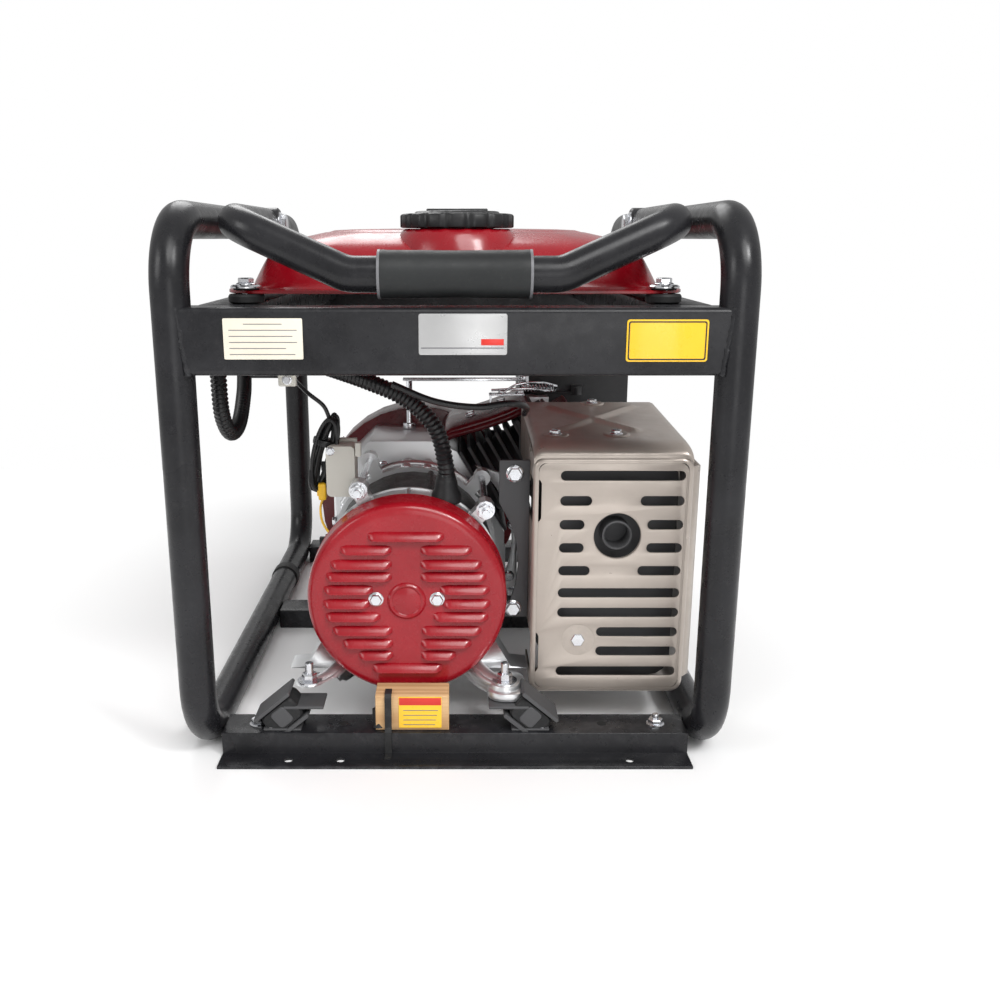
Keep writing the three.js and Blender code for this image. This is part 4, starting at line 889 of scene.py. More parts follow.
def dressed(node: str, finishes: Sequence[Finish], edge: float = 0.8, crease: float = 34.0) -> Maker:
    """A maker that starts from a CAD node's shape, its flats joined and its sharp edges rounded.

    Args:
        node: The CAD node.
        finishes: The piece's finishes.
        edge: Edge radius.
        crease: Edges under this angle are left alone.

    Returns:
        The maker, for further detail.
    """
    maker = Maker(node + "_dressed", *finishes)
    maker.merge(NODES[node].data.copy(), Matrix.Scale(1 / MM, 4), 0)
    mesh = maker.mesh
    bmesh.ops.remove_doubles(mesh, verts=mesh.verts, dist=0.004)
    bmesh.ops.dissolve_limit(mesh, angle_limit=math.radians(1.5), verts=mesh.verts, edges=mesh.edges)
    if edge > 0:
        limit = math.radians(crease)
        sharp = [e for e in mesh.edges if len(e.link_faces) == 2 and e.calc_face_angle(0.0) > limit]
        bmesh.ops.bevel(
            mesh, geom=sharp, offset=edge, segments=2, profile=0.6, affect="EDGES", clamp_overlap=True,
            material=-1,
        )
    return maker


NODES: dict[str, bpy.types.Object] = {}


# ---------------------------------------------------------------- frame


@dataclass
class SideHoops:
    """The two bent side hoops with the bosses that the handle turns on."""

    tube: float = 35.0
    bend: float = 62.0
    sides: int = 40
    boss: float = 14.0

    def build(self) -> None:
        """Builds both hoops."""
        for side, node in ((-1, "hoop_left"), (1, "hoop_right")):
            self._hoop(side, node)

    def _hoop(self, side: int, node: str) -> None:
        """Builds one hoop.

        Args:
            side: -1 for the left, 1 for the right.
            node: Its CAD node.
        """
        low, high = span(node)
        r = self.tube / 2
        x = side * (max(abs(low.x), abs(high.x)) - r)
        y, top = high.y - r, high.z - r
        maker = Maker(node + "_tube", FRAME_PAINT, ZINC)
        corners = [(x, -y, r), (x, -y, top), (x, y, top), (x, y, r)]
        maker.tube(bent(corners, self.bend, 16, closed=True), r, self.sides, closed=True)
        at = pivot("handle_fold")
        seat = Vector((x - side * 12, at.y, at.z))
        maker.rod(seat, seat - Vector((side * 18, 0, 0)), self.boss + 1, self.boss, 28)
        self._weld(maker, seat - Vector((side * 5.5, 0, 0)), self.boss + 1.5)
        maker.finish(FRAME, (node,), "frame_paint", 40)

    @staticmethod
    def _weld(maker: Maker, at: Vector, radius: float) -> None:
        """A bead of weld round a boss."""
        count = 40
        ring = [
            at + Vector(
                (0, radius * math.cos(math.tau * i / count), radius * math.sin(math.tau * i / count))
            )
            for i in range(count)
        ]
        maker.tube(ring, [2.0 + 0.5 * (i % 3) for i in range(count)], 8, closed=True)


@dataclass
class CrossBeams:
    """The box beams across both ends, welded between the hoops, with the plates on the front one."""

    corner: float = 5.0
    end_top: float = 246.0
    end_bottom: float = 238.0

    def build(self) -> None:
        """Builds both beams and the plates."""
        for node in ("beam_front", "beam_rear"):
            self._beam(node)
        self._plates()

    def _beam(self, node: str) -> None:
        """Builds one beam with slanting ends and a weld bead at each.

        Args:
            node: Its CAD node.
        """
        low, high = span(node)
        maker = Maker(node + "_tube", FRAME_PAINT)
        middle_yz = ((low.y + high.y) / 2, (low.z + high.z) / 2)
        outline = rounded(*middle_yz, high.y - low.y, high.z - low.z, self.corner, 5)
        rings = []
        for side, share in ((-1, 1.0), (-1, 0.985), (1, 0.985), (1, 1.0)):
            ring = []
            for y, z in outline:
                lift = (z - low.z) / (high.z - low.z)
                reach = self.end_bottom + (self.end_top - self.end_bottom) * lift
                ring.append((side * reach * share, y, z))
            rings.append(ring)
        maker.loft(rings)
        face = low.y if node == "beam_front" else high.y
        for side in (-1, 1):
            self._bead(maker, side, face, low.z, high.z)
        maker.finish(FRAME, (node,), "frame_paint", 30)

    def _bead(self, maker: Maker, side: int, face: float, low: float, high: float) -> None:
        """A wavy weld bead down one end of the beam's outer face.

        Args:
            maker: The beam.
            side: -1 for the left end, 1 for the right.
            face: The outer face's place along Y.
            low: The beam's lowest height.
            high: Its highest height.
        """
        dice = Random(int(side * 7 + face))
        steps = 26
        inward = 1.5 if face < 0 else -1.5
        line, sizes = [], []
        for i in range(steps + 1):
            lift = i / steps
            x = self.end_bottom + (self.end_top - self.end_bottom) * lift
            line.append(
                Vector(
                    (side * (x - 0.5 + dice.uniform(-0.4, 0.4)), face + inward, low + (high - low) * lift)
                )
            )
            sizes.append(dice.uniform(2.3, 3.4))
        maker.tube(line, sizes, 10)

    def _plates(self) -> None:
        """The blank data plate, silver plate and yellow plate riveted to the front face."""
        front = span("beam_front")[0].y
        data = Maker("data_plate", CREAM_FILM, GREY_FILM, ZINC)
        data.slab(Axis.Y, rounded(-169, 420, 70, 36, 1.2, 3), front - 0.9, front - 0.2, edge=0.25)
        for row, width in enumerate((34, 60, 56, 60, 50, 58)):
            left, z = -169 - (width / 2 if row == 0 else 30), 432.6 - row * 5.3
            data.box((left, front - 1.05, z), (left + width, front - 0.85, z + 0.7), 0.05, 1)
        data.finish(FRAME, crease=25)
        silver = Maker("service_plate", SILVER_FILM, GREY_FILM, RED_FILM)
        silver.slab(Axis.Y, rounded(7, 424, 78, 36, 2.0, 4), front - 0.9, front - 0.2, edge=0.25)
        silver.box((-30, front - 1.05, 411.6), (43, front - 0.85, 412.6), 0.05, 1)
        silver.box((23, front - 1.1, 414.5), (43, front - 0.85, 420.0), 0.1, 2)
        silver.finish(FRAME, crease=25)
        yellow = Maker("yellow_plate", YELLOW_FILM, BLACK_FILM)
        at = (187, 418.5)
        yellow.slab(Axis.Y, rounded(*at, 72, 37, 2.5, 4), front - 0.9, front - 0.2, edge=0.25)
        inside = rounded(*at, 66.6, 31.6, 1.4, 4)
        yellow.slab(Axis.Y, rounded(*at, 69, 34, 2.0, 4), front - 1.1, front - 0.85, [inside], 0.05, 1)
        yellow.finish(FRAME, crease=25)


@dataclass
class BaseRails:
    """The pressed rails on the floor and the angle rails under the tank, with their bolts."""

    bolt: float = 8.0
    bolt_x: tuple[float, float] = (-201.0, 205.0)
    hole_shadow_x: tuple[float, float] = (-114.0, 150.0)
    flat_middle: float = 48.0

    def build(self) -> None:
        """Builds the rails."""
        for node in ("base_rail_front", "base_rail_rear"):
            low, high = span(node)
            maker = dressed(node, (FRAME_PAINT, ZINC, PAINTED_SHADOW), 1.4)
            centre_y = low.y + self.flat_middle if node == "base_rail_front" else high.y - self.flat_middle
            for x in self.bolt_x:
                maker.bolt((x, centre_y, high.z), (0, 0, 1), self.bolt, 1)
                maker.rod((x, centre_y, high.z + 5), (x, centre_y, high.z + 11), 3.4, finish=1)
            # Thin black discs of painted shadow stand in for the rail's holes.
            for x in self.hole_shadow_x:
                maker.rod((x, centre_y, high.z - 1), (x, centre_y, high.z + 0.25), 4.8, finish=2, chamfer=0.1)
            maker.finish(FRAME, (node,), "frame_paint")
        dressed("base_rail_engine", (FRAME_PAINT,), 1.4).finish(FRAME, ("base_rail_engine",), "frame_paint")
        for node in ("tank_rail_left", "tank_rail_right"):
            dressed(node, (FRAME_PAINT,), 0.9).finish(FRAME, (node,), "frame_paint")


# ---------------------------------------------------------------- tank and handle


@dataclass
class FuelTank:
    """The pressed tank with its domed top, seam flange, filler collar, gauge, cap and rubber mounts."""

    flange: float = 16.0
    flange_corner: float = 42.0
    gauge: tuple[float, float] = (0.0, 40.0)
    lobes: int = 16

    def build(self) -> None:
        """Builds the tank and what is on it."""
        self._shell()
        self._cap()
        for node in ("front_left", "front_right", "rear_left", "rear_right"):
            self._mount("tank_mount_" + node)

    def _shell(self) -> None:
        """The two pressings, seamed round the middle."""
        low, high = span("fuel_tank")
        maker = Maker("fuel_tank_shell", RED_ENAMEL, PLASTIC, DIAL_FACE, ZINC)
        half_x, half_y = high.x, high.y
        body_x, body_y = half_x - self.flange, half_y - self.flange
        rings = [
            self._ring(half_x - inset, half_y - inset, self.flange_corner - inset, low.z + lift)
            for lift, inset in ((0, 0.8), (0.6, 0), (2.6, 0), (3.4, 0.8))
        ]
        rings.append(self._ring(body_x + 4.0, body_y + 4.0, 50, low.z + 3.5))
        sides = (
            (0.5, 4.2, 60), (-1.0, 6.0, 62), (-2.5, 10.0, 63), (-7.0, 20.0, 64), (-11.0, 28.0, 64),
            (-14.0, 33.0, 63), (-18.5, 38.0, 62), (-26.0, 43.0, 60), (-37.0, 47.8, 56), (-50.0, 51.8, 52),
            (-62.0, 54.6, 48), (-67.5, 55.8, 46), (-70.0, 56.0, 45), (-72.0, 56.6, 44), (-76.0, 57.8, 42),
            (-92.0, 58.7, 38), (-130.0, 59.6, 26), (-185.0, 60.0, 8),
        )
        for inset, lift, corner in sides:
            rings.append(self._ring(body_x + inset, body_y + inset, corner, low.z + lift))
        maker.loft(rings)
        self._collar(maker, high.z)
        self._gauge(maker, low.z + 60)
        maker.finish(FRAME, ("fuel_tank",), "red_paint", 38)

    @staticmethod
    def _ring(half_x: float, half_y: float, corner: float, z: float) -> list[Point]:
        """A round-cornered ring at a height."""
        return [(x, y, z) for x, y in rounded(0, 0, 2 * half_x, 2 * half_y, corner, 12)]

    def _collar(self, maker: Maker, top: float) -> None:
        """The raised collar round the filler neck."""
        at = middle("fuel_cap")
        profile = [(64, -26), (60, -13), (56.5, -6), (54, -2.2), (51, -0.4), (40, -0.2), (0, -0.2)]
        maker.turned((at.x, at.y, top), (0, 0, 1), profile, 64)

    def _gauge(self, maker: Maker, z: float) -> None:
        """The float gauge let into the top."""
        x, y = self.gauge
        maker.turned(
            (x, y, z), (0, 0, 1), [(24, -2), (24, 1.6), (22, 2.6), (19.5, 2.6), (19, 1.6), (19, -2)], 48, 1,
            hollow=True,
        )
        maker.turned((x, y, z), (0, 0, 1), [(19, 0), (19, 1.7), (0, 1.9)], 48, 2)
        maker.box((x - 0.8, y - 2, z + 1.9), (x + 0.8, y + 15, z + 2.4), 0.2, 1)

    def _cap(self) -> None:
        """The knurled cap with a raised centre."""
        high = span("fuel_cap")[1]
        at = middle("fuel_cap")
        top = high.z
        maker = Maker("fuel_cap_moulding", PLASTIC)
        radius = high.x - at.x

        def flute(angle: float, along: float) -> float:
            """Lobes on the grip's side only."""
            wave = math.cos(angle * self.lobes)
            inside = 1.0 if -15.8 < along < -3.2 else 0.25
            return -2.6 * inside * max(0.0, -wave) ** 1.5

        profile = [
            (36, -25), (36, -15.8), (53.5, -15.8), (55.4, -15.2), (radius, -14.2), (radius, -4.6),
            (radius - 0.8, -3.4), (radius - 2.6, -2.6), (51.5, -2.4), (50.5, -3.0), (44, -3.2),
            (42.5, -2.4), (40.5, -0.4), (39, 0), (20, 0.5), (0, 0.6),
        ]
        maker.turned((at.x, at.y, top), (0, 0, 1), profile, self.lobes * 12, wave=flute)
        maker.box((at.x - 30, at.y - 5, top - 0.2), (at.x + 30, at.y + 5, top + 2.6), 2.2)
        maker.finish("fuel_cap", ("fuel_cap",), "plastic", 35)

    def _mount(self, node: str) -> None:
        """A rubber buffer, a cupped washer and a flanged screw.

        Args:
            node: The mount's CAD node.
        """
        low, high = span(node)
        at = (low + high) / 2
        seat = span("fuel_tank")[0].z + 3.4
        maker = Maker(node + "_fitting", RUBBER, ZINC)
        bottom, under = low.z, seat - 3.6
        maker.turned(
            (at.x, at.y, 0), (0, 0, 1),
            [(14, bottom), (16.5, bottom + 1.5), (16.8, under - 2), (15.4, under)], 36,
        )
        maker.turned(
            (at.x, at.y, 0), (0, 0, 1),
            [(11.5, seat), (12, seat + 0.6), (11.6, seat + 2.4), (10.5, seat + 3.0), (9, seat + 3.2)], 36,
        )
        maker.turned(
            (at.x, at.y, 0), (0, 0, 1),
            [(14.5, seat + 2.0), (14.5, seat + 3.4), (13, seat + 4.6), (9, seat + 5.0)], 36, 1,
        )
        maker.bolt((at.x, at.y, seat + 5.0), (0, 0, 1), 8, 1, 12)
        maker.finish(FRAME, (node,), "zinc_steel")


@dataclass
class CarryHandle:
    """The folding handle: a bent tube on two bosses, with a rubber grip across the front."""

    tube: float = 32.0
    arm: float = 202.0
    drop: float = 96.0
    bend: float = 36.0
    grip: float = 21.0
    corner_y: float = -316.0

    def build(self) -> None:
        """Builds the tube and the grip."""
        at = pivot("handle_fold")
        grip = middle("handle_grip")
        maker = Maker("handle_tube", FRAME_PAINT, ZINC)
        corners = [
            (-self.arm, at.y - 8, at.z), (-self.arm, self.corner_y, at.z), (-self.drop, grip.y, grip.z),
            (self.drop, grip.y, grip.z), (self.arm, self.corner_y, at.z), (self.arm, at.y - 8, at.z),
        ]
        maker.tube(bent(corners, self.bend, 12), self.tube / 2, 36)
        for side in (-1, 1):
            x = side * self.arm
            maker.rod((x - 15.9, at.y, at.z), (x + 15.9, at.y, at.z), self.tube / 2, sides=36, chamfer=2)
            maker.rod((x - side * 4, at.y, at.z), (x + side * 23, at.y, at.z), 5, finish=1)
            maker.bolt((x - side * 15.9, at.y, at.z), (-side, 0, 0), 10, 1)
        maker.finish(HANDLE, ("handle_bar",), "frame_paint", 40)
        self._grip(grip)

    def _grip(self, at: Vector) -> None:
        """The moulded sleeve with a pale ring at each end.

        Args:
            at: The sleeve's middle.
        """
        low, high = span("handle_grip")
        half = (high.x - low.x) / 2
        maker = Maker("handle_grip_sleeve", GRIP_RUBBER, GREY_FILM)
        profile = [
            (16.2, -half + 0.5), (19.6, -half), (self.grip, -half + 1.2), (self.grip + 0.3, -half + 5),
            (self.grip, -half + 9), (self.grip - 0.5, 0), (self.grip, half - 9),
            (self.grip + 0.3, half - 5), (self.grip, half - 1.2), (19.6, half), (16.2, half - 0.5),
        ]
        maker.turned(at, (1, 0, 0), profile, 48, hollow=True)
        for side in (-1, 1):
            ring = [
                (self.grip - 1, side * half), (self.grip + 0.55, side * (half - 0.3)),
                (self.grip + 0.55, side * (half - 2.6)), (self.grip - 1, side * (half - 2.8)),
            ]
            maker.turned(at, (1, 0, 0), ring, 48, 1, hollow=True)
        maker.finish(HANDLE, ("handle_grip",), "rubber", 38)


# ---------------------------------------------------------------- alternator


@dataclass
class AlternatorEnd:
    """The louvred end cover, the two end castings, the stator band, studs, feet and regulator cover."""

    radius: float = 102.0
    front: float = -290.0
    rows: tuple[tuple[float, float, float], ...] = (
        (54, 14.5, 66), (39, 14.5, 76), (26, 14.5, 81), (12, 34, 84), (-3, 37, 85), (-17, 27, 83),
        (-32, 15, 76), (-46, 14.5, 66), (-59, 14.5, 50),
    )
    middle_rows: tuple[tuple[float, float], ...] = ((68, 38), (-73, 36))
    lug_angles: tuple[float, float] = (116.0, 46.0)
    lug_radius: float = 116.0

    def build(self) -> None:
        """Builds the alternator from the cover back."""
        self._cover()
        self._rear_bell()
        self._stator()
        self._front_bell()
        self._regulator()
        dressed("rotor", (MACHINED,), 0.8).finish("shaft", ("rotor",), "machined_steel")

    def _cover(self) -> None:
        """The dished cover with louvres, boss and screws."""
        maker = Maker("alternator_cover_pressing", RED_ENAMEL, PAINTED_SHADOW, ZINC)
        f, r = self.front, self.radius
        profile = [
            (0, f), (40, f), (90, f), (94, f + 0.3), (97.2, f + 1.3), (99.8, f + 3.2), (101.3, f + 5.8),
            (r, f + 9), (r, f + 36.5), (r + 0.6, f + 38), (r - 1.6, f + 38.2), (r - 2, f + 12),
            (97, f + 4.5), (90, f + 2), (0, f + 2),
        ]
        maker.turned(SHAFT, (0, 1, 0), profile, 96)
        boss = [
            (20, f + 0.4), (18.6, f - 1.6), (17, f - 2.6), (15.4, f - 2.2), (14.4, f - 1.4),
            (13.2, f - 1.9), (0, f - 2.3),
        ]
        maker.turned(SHAFT, (0, 1, 0), boss, 48)
        for z, half in self.middle_rows:
            self._louvre(maker, -half, half, z)
        for z, near, far in self.rows:
            self._louvre(maker, -far, -near, z)
            self._louvre(maker, near, far, z)
        for side in (-1, 1):
            maker.bolt(SHAFT + Vector((side * 31, f - 0.2, 2)), (0, -1, 0), 6.6, 2, 4)
        maker.finish(FRAME, ("alternator_cover",), "red_paint", 42)

    def _louvre(self, maker: Maker, start: float, end: float, z: float) -> None:
        """One raised hood with rounded ends, and a thin black strip of painted shadow under it.

        Args:
            maker: The cover.
            start: Where it starts beside the axis.
            end: Where it ends.
            z: Its height above the axis.
        """
        section = [
            (0.6, 5.2), (-0.5, 5.0), (-2.0, 3.9), (-4.2, 1.4), (-5.9, -1.2), (-6.6, -2.7), (-6.5, -3.7),
            (-5.6, -4.3), (-3.0, -4.4), (0.6, -4.4),
        ]
        length = end - start
        stops = (0.0, 0.6, 1.8, 3.6, 6.0, 9.0)
        spots = [(s, math.sin(min(1.0, (s + 0.4) / 9.0) * math.pi / 2) ** 0.75) for s in stops]
        places = [*spots, *((length - s, scale) for s, scale in reversed(spots))]
        rings = []
        for along, scale in places:
            tall = 0.45 + 0.55 * scale
            rings.append(
                [
                    SHAFT + Vector((start + along, self.front + dy * scale, z + 0.8 + (dz - 0.8) * tall))
                    for dy, dz in section
                ]
            )
        maker.loft(rings)
        # A thin black strip just under the hood: painted shadow standing in for the shade in the louvre's
        # mouth.
        low, high = z - 5.6, z - 4.0
        shadow_strip = rounded(
            SHAFT.x + (start + end) / 2, SHAFT.z + (low + high) / 2, length - 9, high - low, 0.85, 4
        )
        maker.slab(Axis.Y, shadow_strip, self.front - 0.15, self.front + 0.3, edge=0.05, finish=1)

    def _near_stud(self, at: Vector) -> bool:
        """Whether a point is on one of the studs."""
        return any(
            (Vector((at.x, 0, at.z)) - round_shaft(a, self.lug_radius)).length < 8.6
            for a in self.lug_angles
        )

    def _rear_bell(self) -> None:
        """The end casting with its lugs and feet, and the studs that hold the feet down."""
        maker = dressed("alternator_rear_bell", (CAST_ALLOY, ZINC, MACHINED), 1.6)
        for y in (-250, -208):
            maker.turned(
                SHAFT, (0, 1, 0), [(96, y - 2.2), (98.4, y - 1.6), (98.4, y + 1.6), (96, y + 2.2)], 96,
                hollow=True,
            )
        for side in (-1, 1):
            self._foot(maker, side)
        for angle in (75.0, 90.0, 130.0, 20.0, 150.0):
            rib = [round_shaft(angle, 96, -248), round_shaft(angle, 99.5, -230), round_shaft(angle, 96, -208)]
            maker.tube(rib, 2.4, 10)
        maker.finish(FRAME, ("alternator_rear_bell",), "cast_alloy")

    def _foot(self, maker: Maker, side: int) -> None:
        """One cast foot: a rounded arm with a boss for its stud, a web and a turned-down pad.

        Args:
            maker: The end casting.
            side: -1 for the left, 1 for the right.
        """
        x = SHAFT.x + side * 100
        middles = {face: face.calc_center_median() for face in maker.mesh.faces}
        pad = [face for face, at in middles.items() if at.y < -262.6 and at.z < 66.5]
        bmesh.ops.delete(maker.mesh, geom=pad, context="FACES")
        maker.slab(Axis.Z, rounded(x + side * 2, -292, 40, 60, 17, 6), 52.3, 62.0, edge=3.0)
        maker.turned(
            (x, -300, 58), (0, 0, 1), [(16.5, -5), (17, -3), (16.5, 5), (15, 8.2), (12.5, 9), (0, 9)], 36
        )
        stops = ((6, -296, 61), (20, -280, 62), (34, -258, 66), (50, -242, 76))
        for drop, thick in ((0.0, 8.5), (-6.0, 7.0)):
            arm = [(x - side * inward, y, z + drop) for inward, y, z in stops]
            maker.tube(smooth_line(arm, 8), [thick + 4.0 * i / 24 for i in range(25)], 20)
        maker.tube(
            smooth_line(
                [(x - side * 8, -308, 64), (x - side * 24, -289, 66), (x - side * 38, -262, 72)], 8
            ),
            3.0, 12,
        )
        maker.turned((x, -300, 67), (0, 0, 1), [(12.5, 0), (12.5, 1.4), (6, 1.6)], 30, 1)
        maker.hexagon((x, -300, 68.4), (x, -300, 76), 13.5, 1)
        maker.rod((x, -300, 62), (x, -300, 87), 4.3, finish=1)

    def _stator(self) -> None:
        """The laminated band and the winding that shows at its ends."""
        maker = dressed("stator", (LAMINATIONS, COPPER), 0.6)
        paint(maker, 1, lambda p: (Vector((p.x, 0, p.z)) - SHAFT).length < 85 and not -205.5 < p.y < -104.5)
        maker.finish(FRAME, ("stator",), "heat_black")

    def _front_bell(self) -> None:
        """The casting against the engine and the long studs that pull the stack together."""
        maker = dressed("alternator_front_bell", (CAST_ALLOY, ZINC, BLACK_FILM), 1.4)
        paint(maker, 1, lambda p: self._near_stud(p) and p.y < -106)
        for angle in self.lug_angles:
            tip = round_shaft(angle, self.lug_radius, -246.4)
            maker.turned(tip, (0, -1, 0), [(9.6, 0), (9.6, 1.3), (6, 1.6)], 28, 1)
            maker.hexagon(tip + Vector((0, -1.5, 0)), tip + Vector((0, -9, 0)), 13, 1)
            maker.rod(tip, tip + Vector((0, -14, 0)), 4, finish=1)
        for angle in (95.0, 80.0, 62.0, 125.0):
            foot = round_shaft(angle, 92, -84)
            maker.turned(foot, (0, 1, 0), [(6, -16), (8, -14), (8, 20), (5, 22)], 20)
        ridge = [round_shaft(a, 98, -88) for a in range(30, 151, 6)]
        maker.tube(ridge, 4.2, 12)
        maker.finish(FRAME, ("alternator_front_bell",), "cast_alloy")

    def _regulator(self) -> None:
        """The regulator's cover, its connector and the yellow lead under it."""
        maker = dressed("regulator_cover", (GREY_PLASTIC, YELLOW_PLASTIC, ZINC), 1.8)
        low, high = span("regulator_cover")
        maker.box((high.x - 7, low.y - 0.6, high.z - 14), (high.x - 1, low.y + 8, high.z + 1), 1.0)
        maker.bolt((low.x + 8, low.y, high.z - 8), (0, -1, 0), 4, 2, 3)
        maker.box((low.x - 7, low.y + 6, low.z + 6), (low.x + 1, low.y + 18, low.z + 24), 1.4, 1)
        maker.box((low.x - 8.6, low.y + 8, low.z + 10), (low.x - 5, low.y + 16, low.z + 16), 0.8, 1)
        lead = smooth_line(
            [
                (low.x - 4, low.y + 22, low.z + 5), (low.x - 7, low.y + 20, low.z - 6),
                (low.x - 5, low.y + 16, low.z - 20), (low.x + 3, low.y + 12, low.z - 32),
                (low.x + 12, low.y + 12, low.z - 38),
            ],
            8,
        )
        maker.tube(lead, 1.3, 10, 1)
        maker.finish(FRAME, ("regulator_cover",), "grey_plastic")


# ---------------------------------------------------------------- engine


@dataclass
class Engine:
    """The crankcase, leaning cylinder, head and shafts, with bolts, duct sheet and linkages."""

    bore_y: float = 27.0

    def build(self) -> None:
        """Builds the engine."""
        self._crankcase()
        self._cylinder()
        dressed("crankshaft", (MACHINED,), 0.6).finish("shaft", ("crankshaft",), "machined_steel")
        self._plug()
        self._duct()
        self._linkages()
        self._dipstick()

    def _crankcase(self) -> None:
        """The crankcase casting with its cover's ribs and bolts."""
        maker = dressed("crankcase", (CAST_ALLOY, ZINC, MACHINED), 2.2)
        low, high = span("crankcase")
        left, front = -150.0, low.y
        for y in (-22.0, 27.0, 76.0):
            maker.tube([Vector((left + 0.5, y, z)) for z in (82, 160, 238)], 3.2, 10)
        for y in (-30.0, 84.0):
            for z in (84.0, 160.0, 240.0):
                maker.bolt((left, y, z), (-1, 0, 0), 6, 1, 4)
        for angle in (20.0, 65.0, 115.0, 160.0, 205.0, 335.0):
            spot = round_shaft(angle, 92, front)
            if low.x + 8 < spot.x < high.x - 8 and low.z + 12 < spot.z < high.z - 8:
                maker.bolt(spot, (0, -1, 0), 6, 1, 4)
        for x in (-157.0, 72.0):
            for y in (-10.0, 60.0):
                maker.bolt((x, y, 66 if x < 0 else 64), (0, 0, 1), 8, 1, 10)
        drain = Vector((left, 27, 80))
        maker.turned(drain, (-1, 0, 0), [(12, -2), (12, 2), (10, 3)], 28)
        maker.hexagon(drain - Vector((3, 0, 0)), drain - Vector((12, 0, 0)), 15, 2)
        maker.finish(FRAME, ("crankcase",), "cast_alloy")

    def _cylinder(self) -> None:
        """The finned cylinder, the head and the rocker cover."""
        cylinder = dressed("cylinder", (HEAT_BLACK,), 0.5)
        low, high = span("cylinder")
        cylinder.box((low.x + 40, high.y - 14, low.z + 30), (high.x - 30, high.y - 10, high.z - 30), 2.0)
        cylinder.finish(FRAME, ("cylinder",), "heat_black")
        out = by_cylinder(1, 0, 0) - by_cylinder(0, 0, 0)
        head = dressed("cylinder_head", (HEAT_BLACK, ZINC), 1.2)
        for across in (-38.0, 38.0):
            for y in (self.bore_y - 42, self.bore_y + 42):
                head.bolt(by_cylinder(212, across, y), out, 7, 1, 10)
        head.finish(FRAME, ("cylinder_head",), "heat_black")
        cover = dressed("valve_cover", (DARK_ENAMEL, ZINC), 3.0)
        low, high = span("valve_cover")
        top = max((Vector(v.co) / MM - SHAFT).dot(out) for v in NODES["valve_cover"].data.vertices)
        for across in (18, -18):
            cover.bolt(by_cylinder(top, across, (low.y + high.y) / 2), out, 6, 1, 4)
        cover.finish(FRAME, ("valve_cover",), "dark_red_paint")
        dressed("exhaust_pipe", (HEAT_BLACK,), 1.0).finish(FRAME, ("exhaust_pipe",), "heat_black")

    def _plug(self) -> None:
        """The spark plug under its rubber cap, with the lead that runs to the coil."""
        maker = dressed("spark_plug", (RUBBER, CREAM_FILM), 0.6)
        low, high = span("spark_plug")
        lead = smooth_line(
            [
                (high.x - 10, 27, low.z + 8), (high.x - 22, 34, low.z - 22), (high.x - 72, 64, low.z - 34),
                (high.x - 112, 88, low.z - 16),
            ],
            10,
        )
        maker.tube(lead, 3.4, 12)
        maker.finish(FRAME, ("spark_plug",), "rubber")

    def _duct(self) -> None:
        """The dark red sheet that leads the cooling air over the cylinder."""
        maker = Maker("cylinder_duct", DARK_ENAMEL, ZINC)
        line = [
            (-14, 258), (-12, 266), (-4, 271), (12, 275.5), (40, 284), (66, 293.5), (80, 300), (88, 301),
            (93, 296), (94, 288),
        ]
        rings = []
        for y, drop in ((-30.0, 9.0), (-29.5, 4.0), (-27.0, 1.2), (-22.0, 0.0), (60.0, 0.0), (95.0, 0.0)):
            upper = [(x, y, z - drop + 9.0) for x, z in line]
            lower = [(x + 0.5, y, z - drop + 7.4) for x, z in reversed(line)]
            rings.append(upper + lower)
        maker.loft(rings)
        lip = [Vector((x, -29.0, z - 1.0)) for x, z in line[1:8]]
        maker.tube(smooth_line(lip, 6), 4.2, 14)
        for x, y, z in ((20.0, 14.0, 288.4), (60.0, 40.0, 300.2)):
            maker.bolt((x, y, z), (-0.26, 0, 0.96), 6, 1, 3)
        maker.finish(FRAME, slot="dark_red_paint")

    def _linkages(self) -> None:
        """The engine plate beside the cover and the governor's rods above the head."""
        plate = Maker("engine_side_plate", CAST_ALLOY, ZINC)
        rim = [(p.x, p.z) for p in (round_shaft(a, 118) for a in range(-36, 56, 4))]
        outer = [(76, 228), (76, 92)]
        plate.slab(Axis.Y, [*rim, *outer], -78, -73, edge=1.0)
        for x, z in ((62.0, 236.0), (66.0, 104.0), (70.0, 170.0)):
            plate.bolt((x, -78, z), (0, -1, 0), 6, 1, 4)
        plate.finish(FRAME, slot="cast_alloy")
        maker = Maker("speed_linkage", ZINC, BLACK_FILM)
        maker.slab(Axis.Z, rounded(64, -14, 44, 16, 3), 318, 320, edge=0.4)
        maker.box((43, -21, 300), (45.5, -8, 320), 0.5)
        maker.tube(smooth_line([(45, -14, 324), (90, -16, 326), (118, -6, 322), (132, 40, 318)], 10), 1.6, 10)
        maker.tube(
            smooth_line([(60, -18, 322), (76, -22, 332), (104, -16, 334), (128, 10, 326)], 10), 1.3, 10
        )
        for x, y in ((58.0, -14.0), (80.0, -14.0)):
            maker.bolt((x, y, 320), (0, 0, 1), 5, 0, 4)
        coil = [
            Vector((84 + i * 0.45, -4 + 4 * math.cos(i * 0.7), 325 + 4 * math.sin(i * 0.7)))
            for i in range(90)
        ]
        maker.tube(coil, 0.8, 6)
        maker.finish(FRAME, slot="zinc_steel")
        dressed("governor_arm", (ZINC,), 0.5).finish("governor_arm", ("governor_arm",), "zinc_steel")

    def _dipstick(self) -> None:
        """The oil filler plug with its finger grips."""
        dressed("dipstick", (PLASTIC,), 1.0).finish("dipstick", ("dipstick",), "plastic")


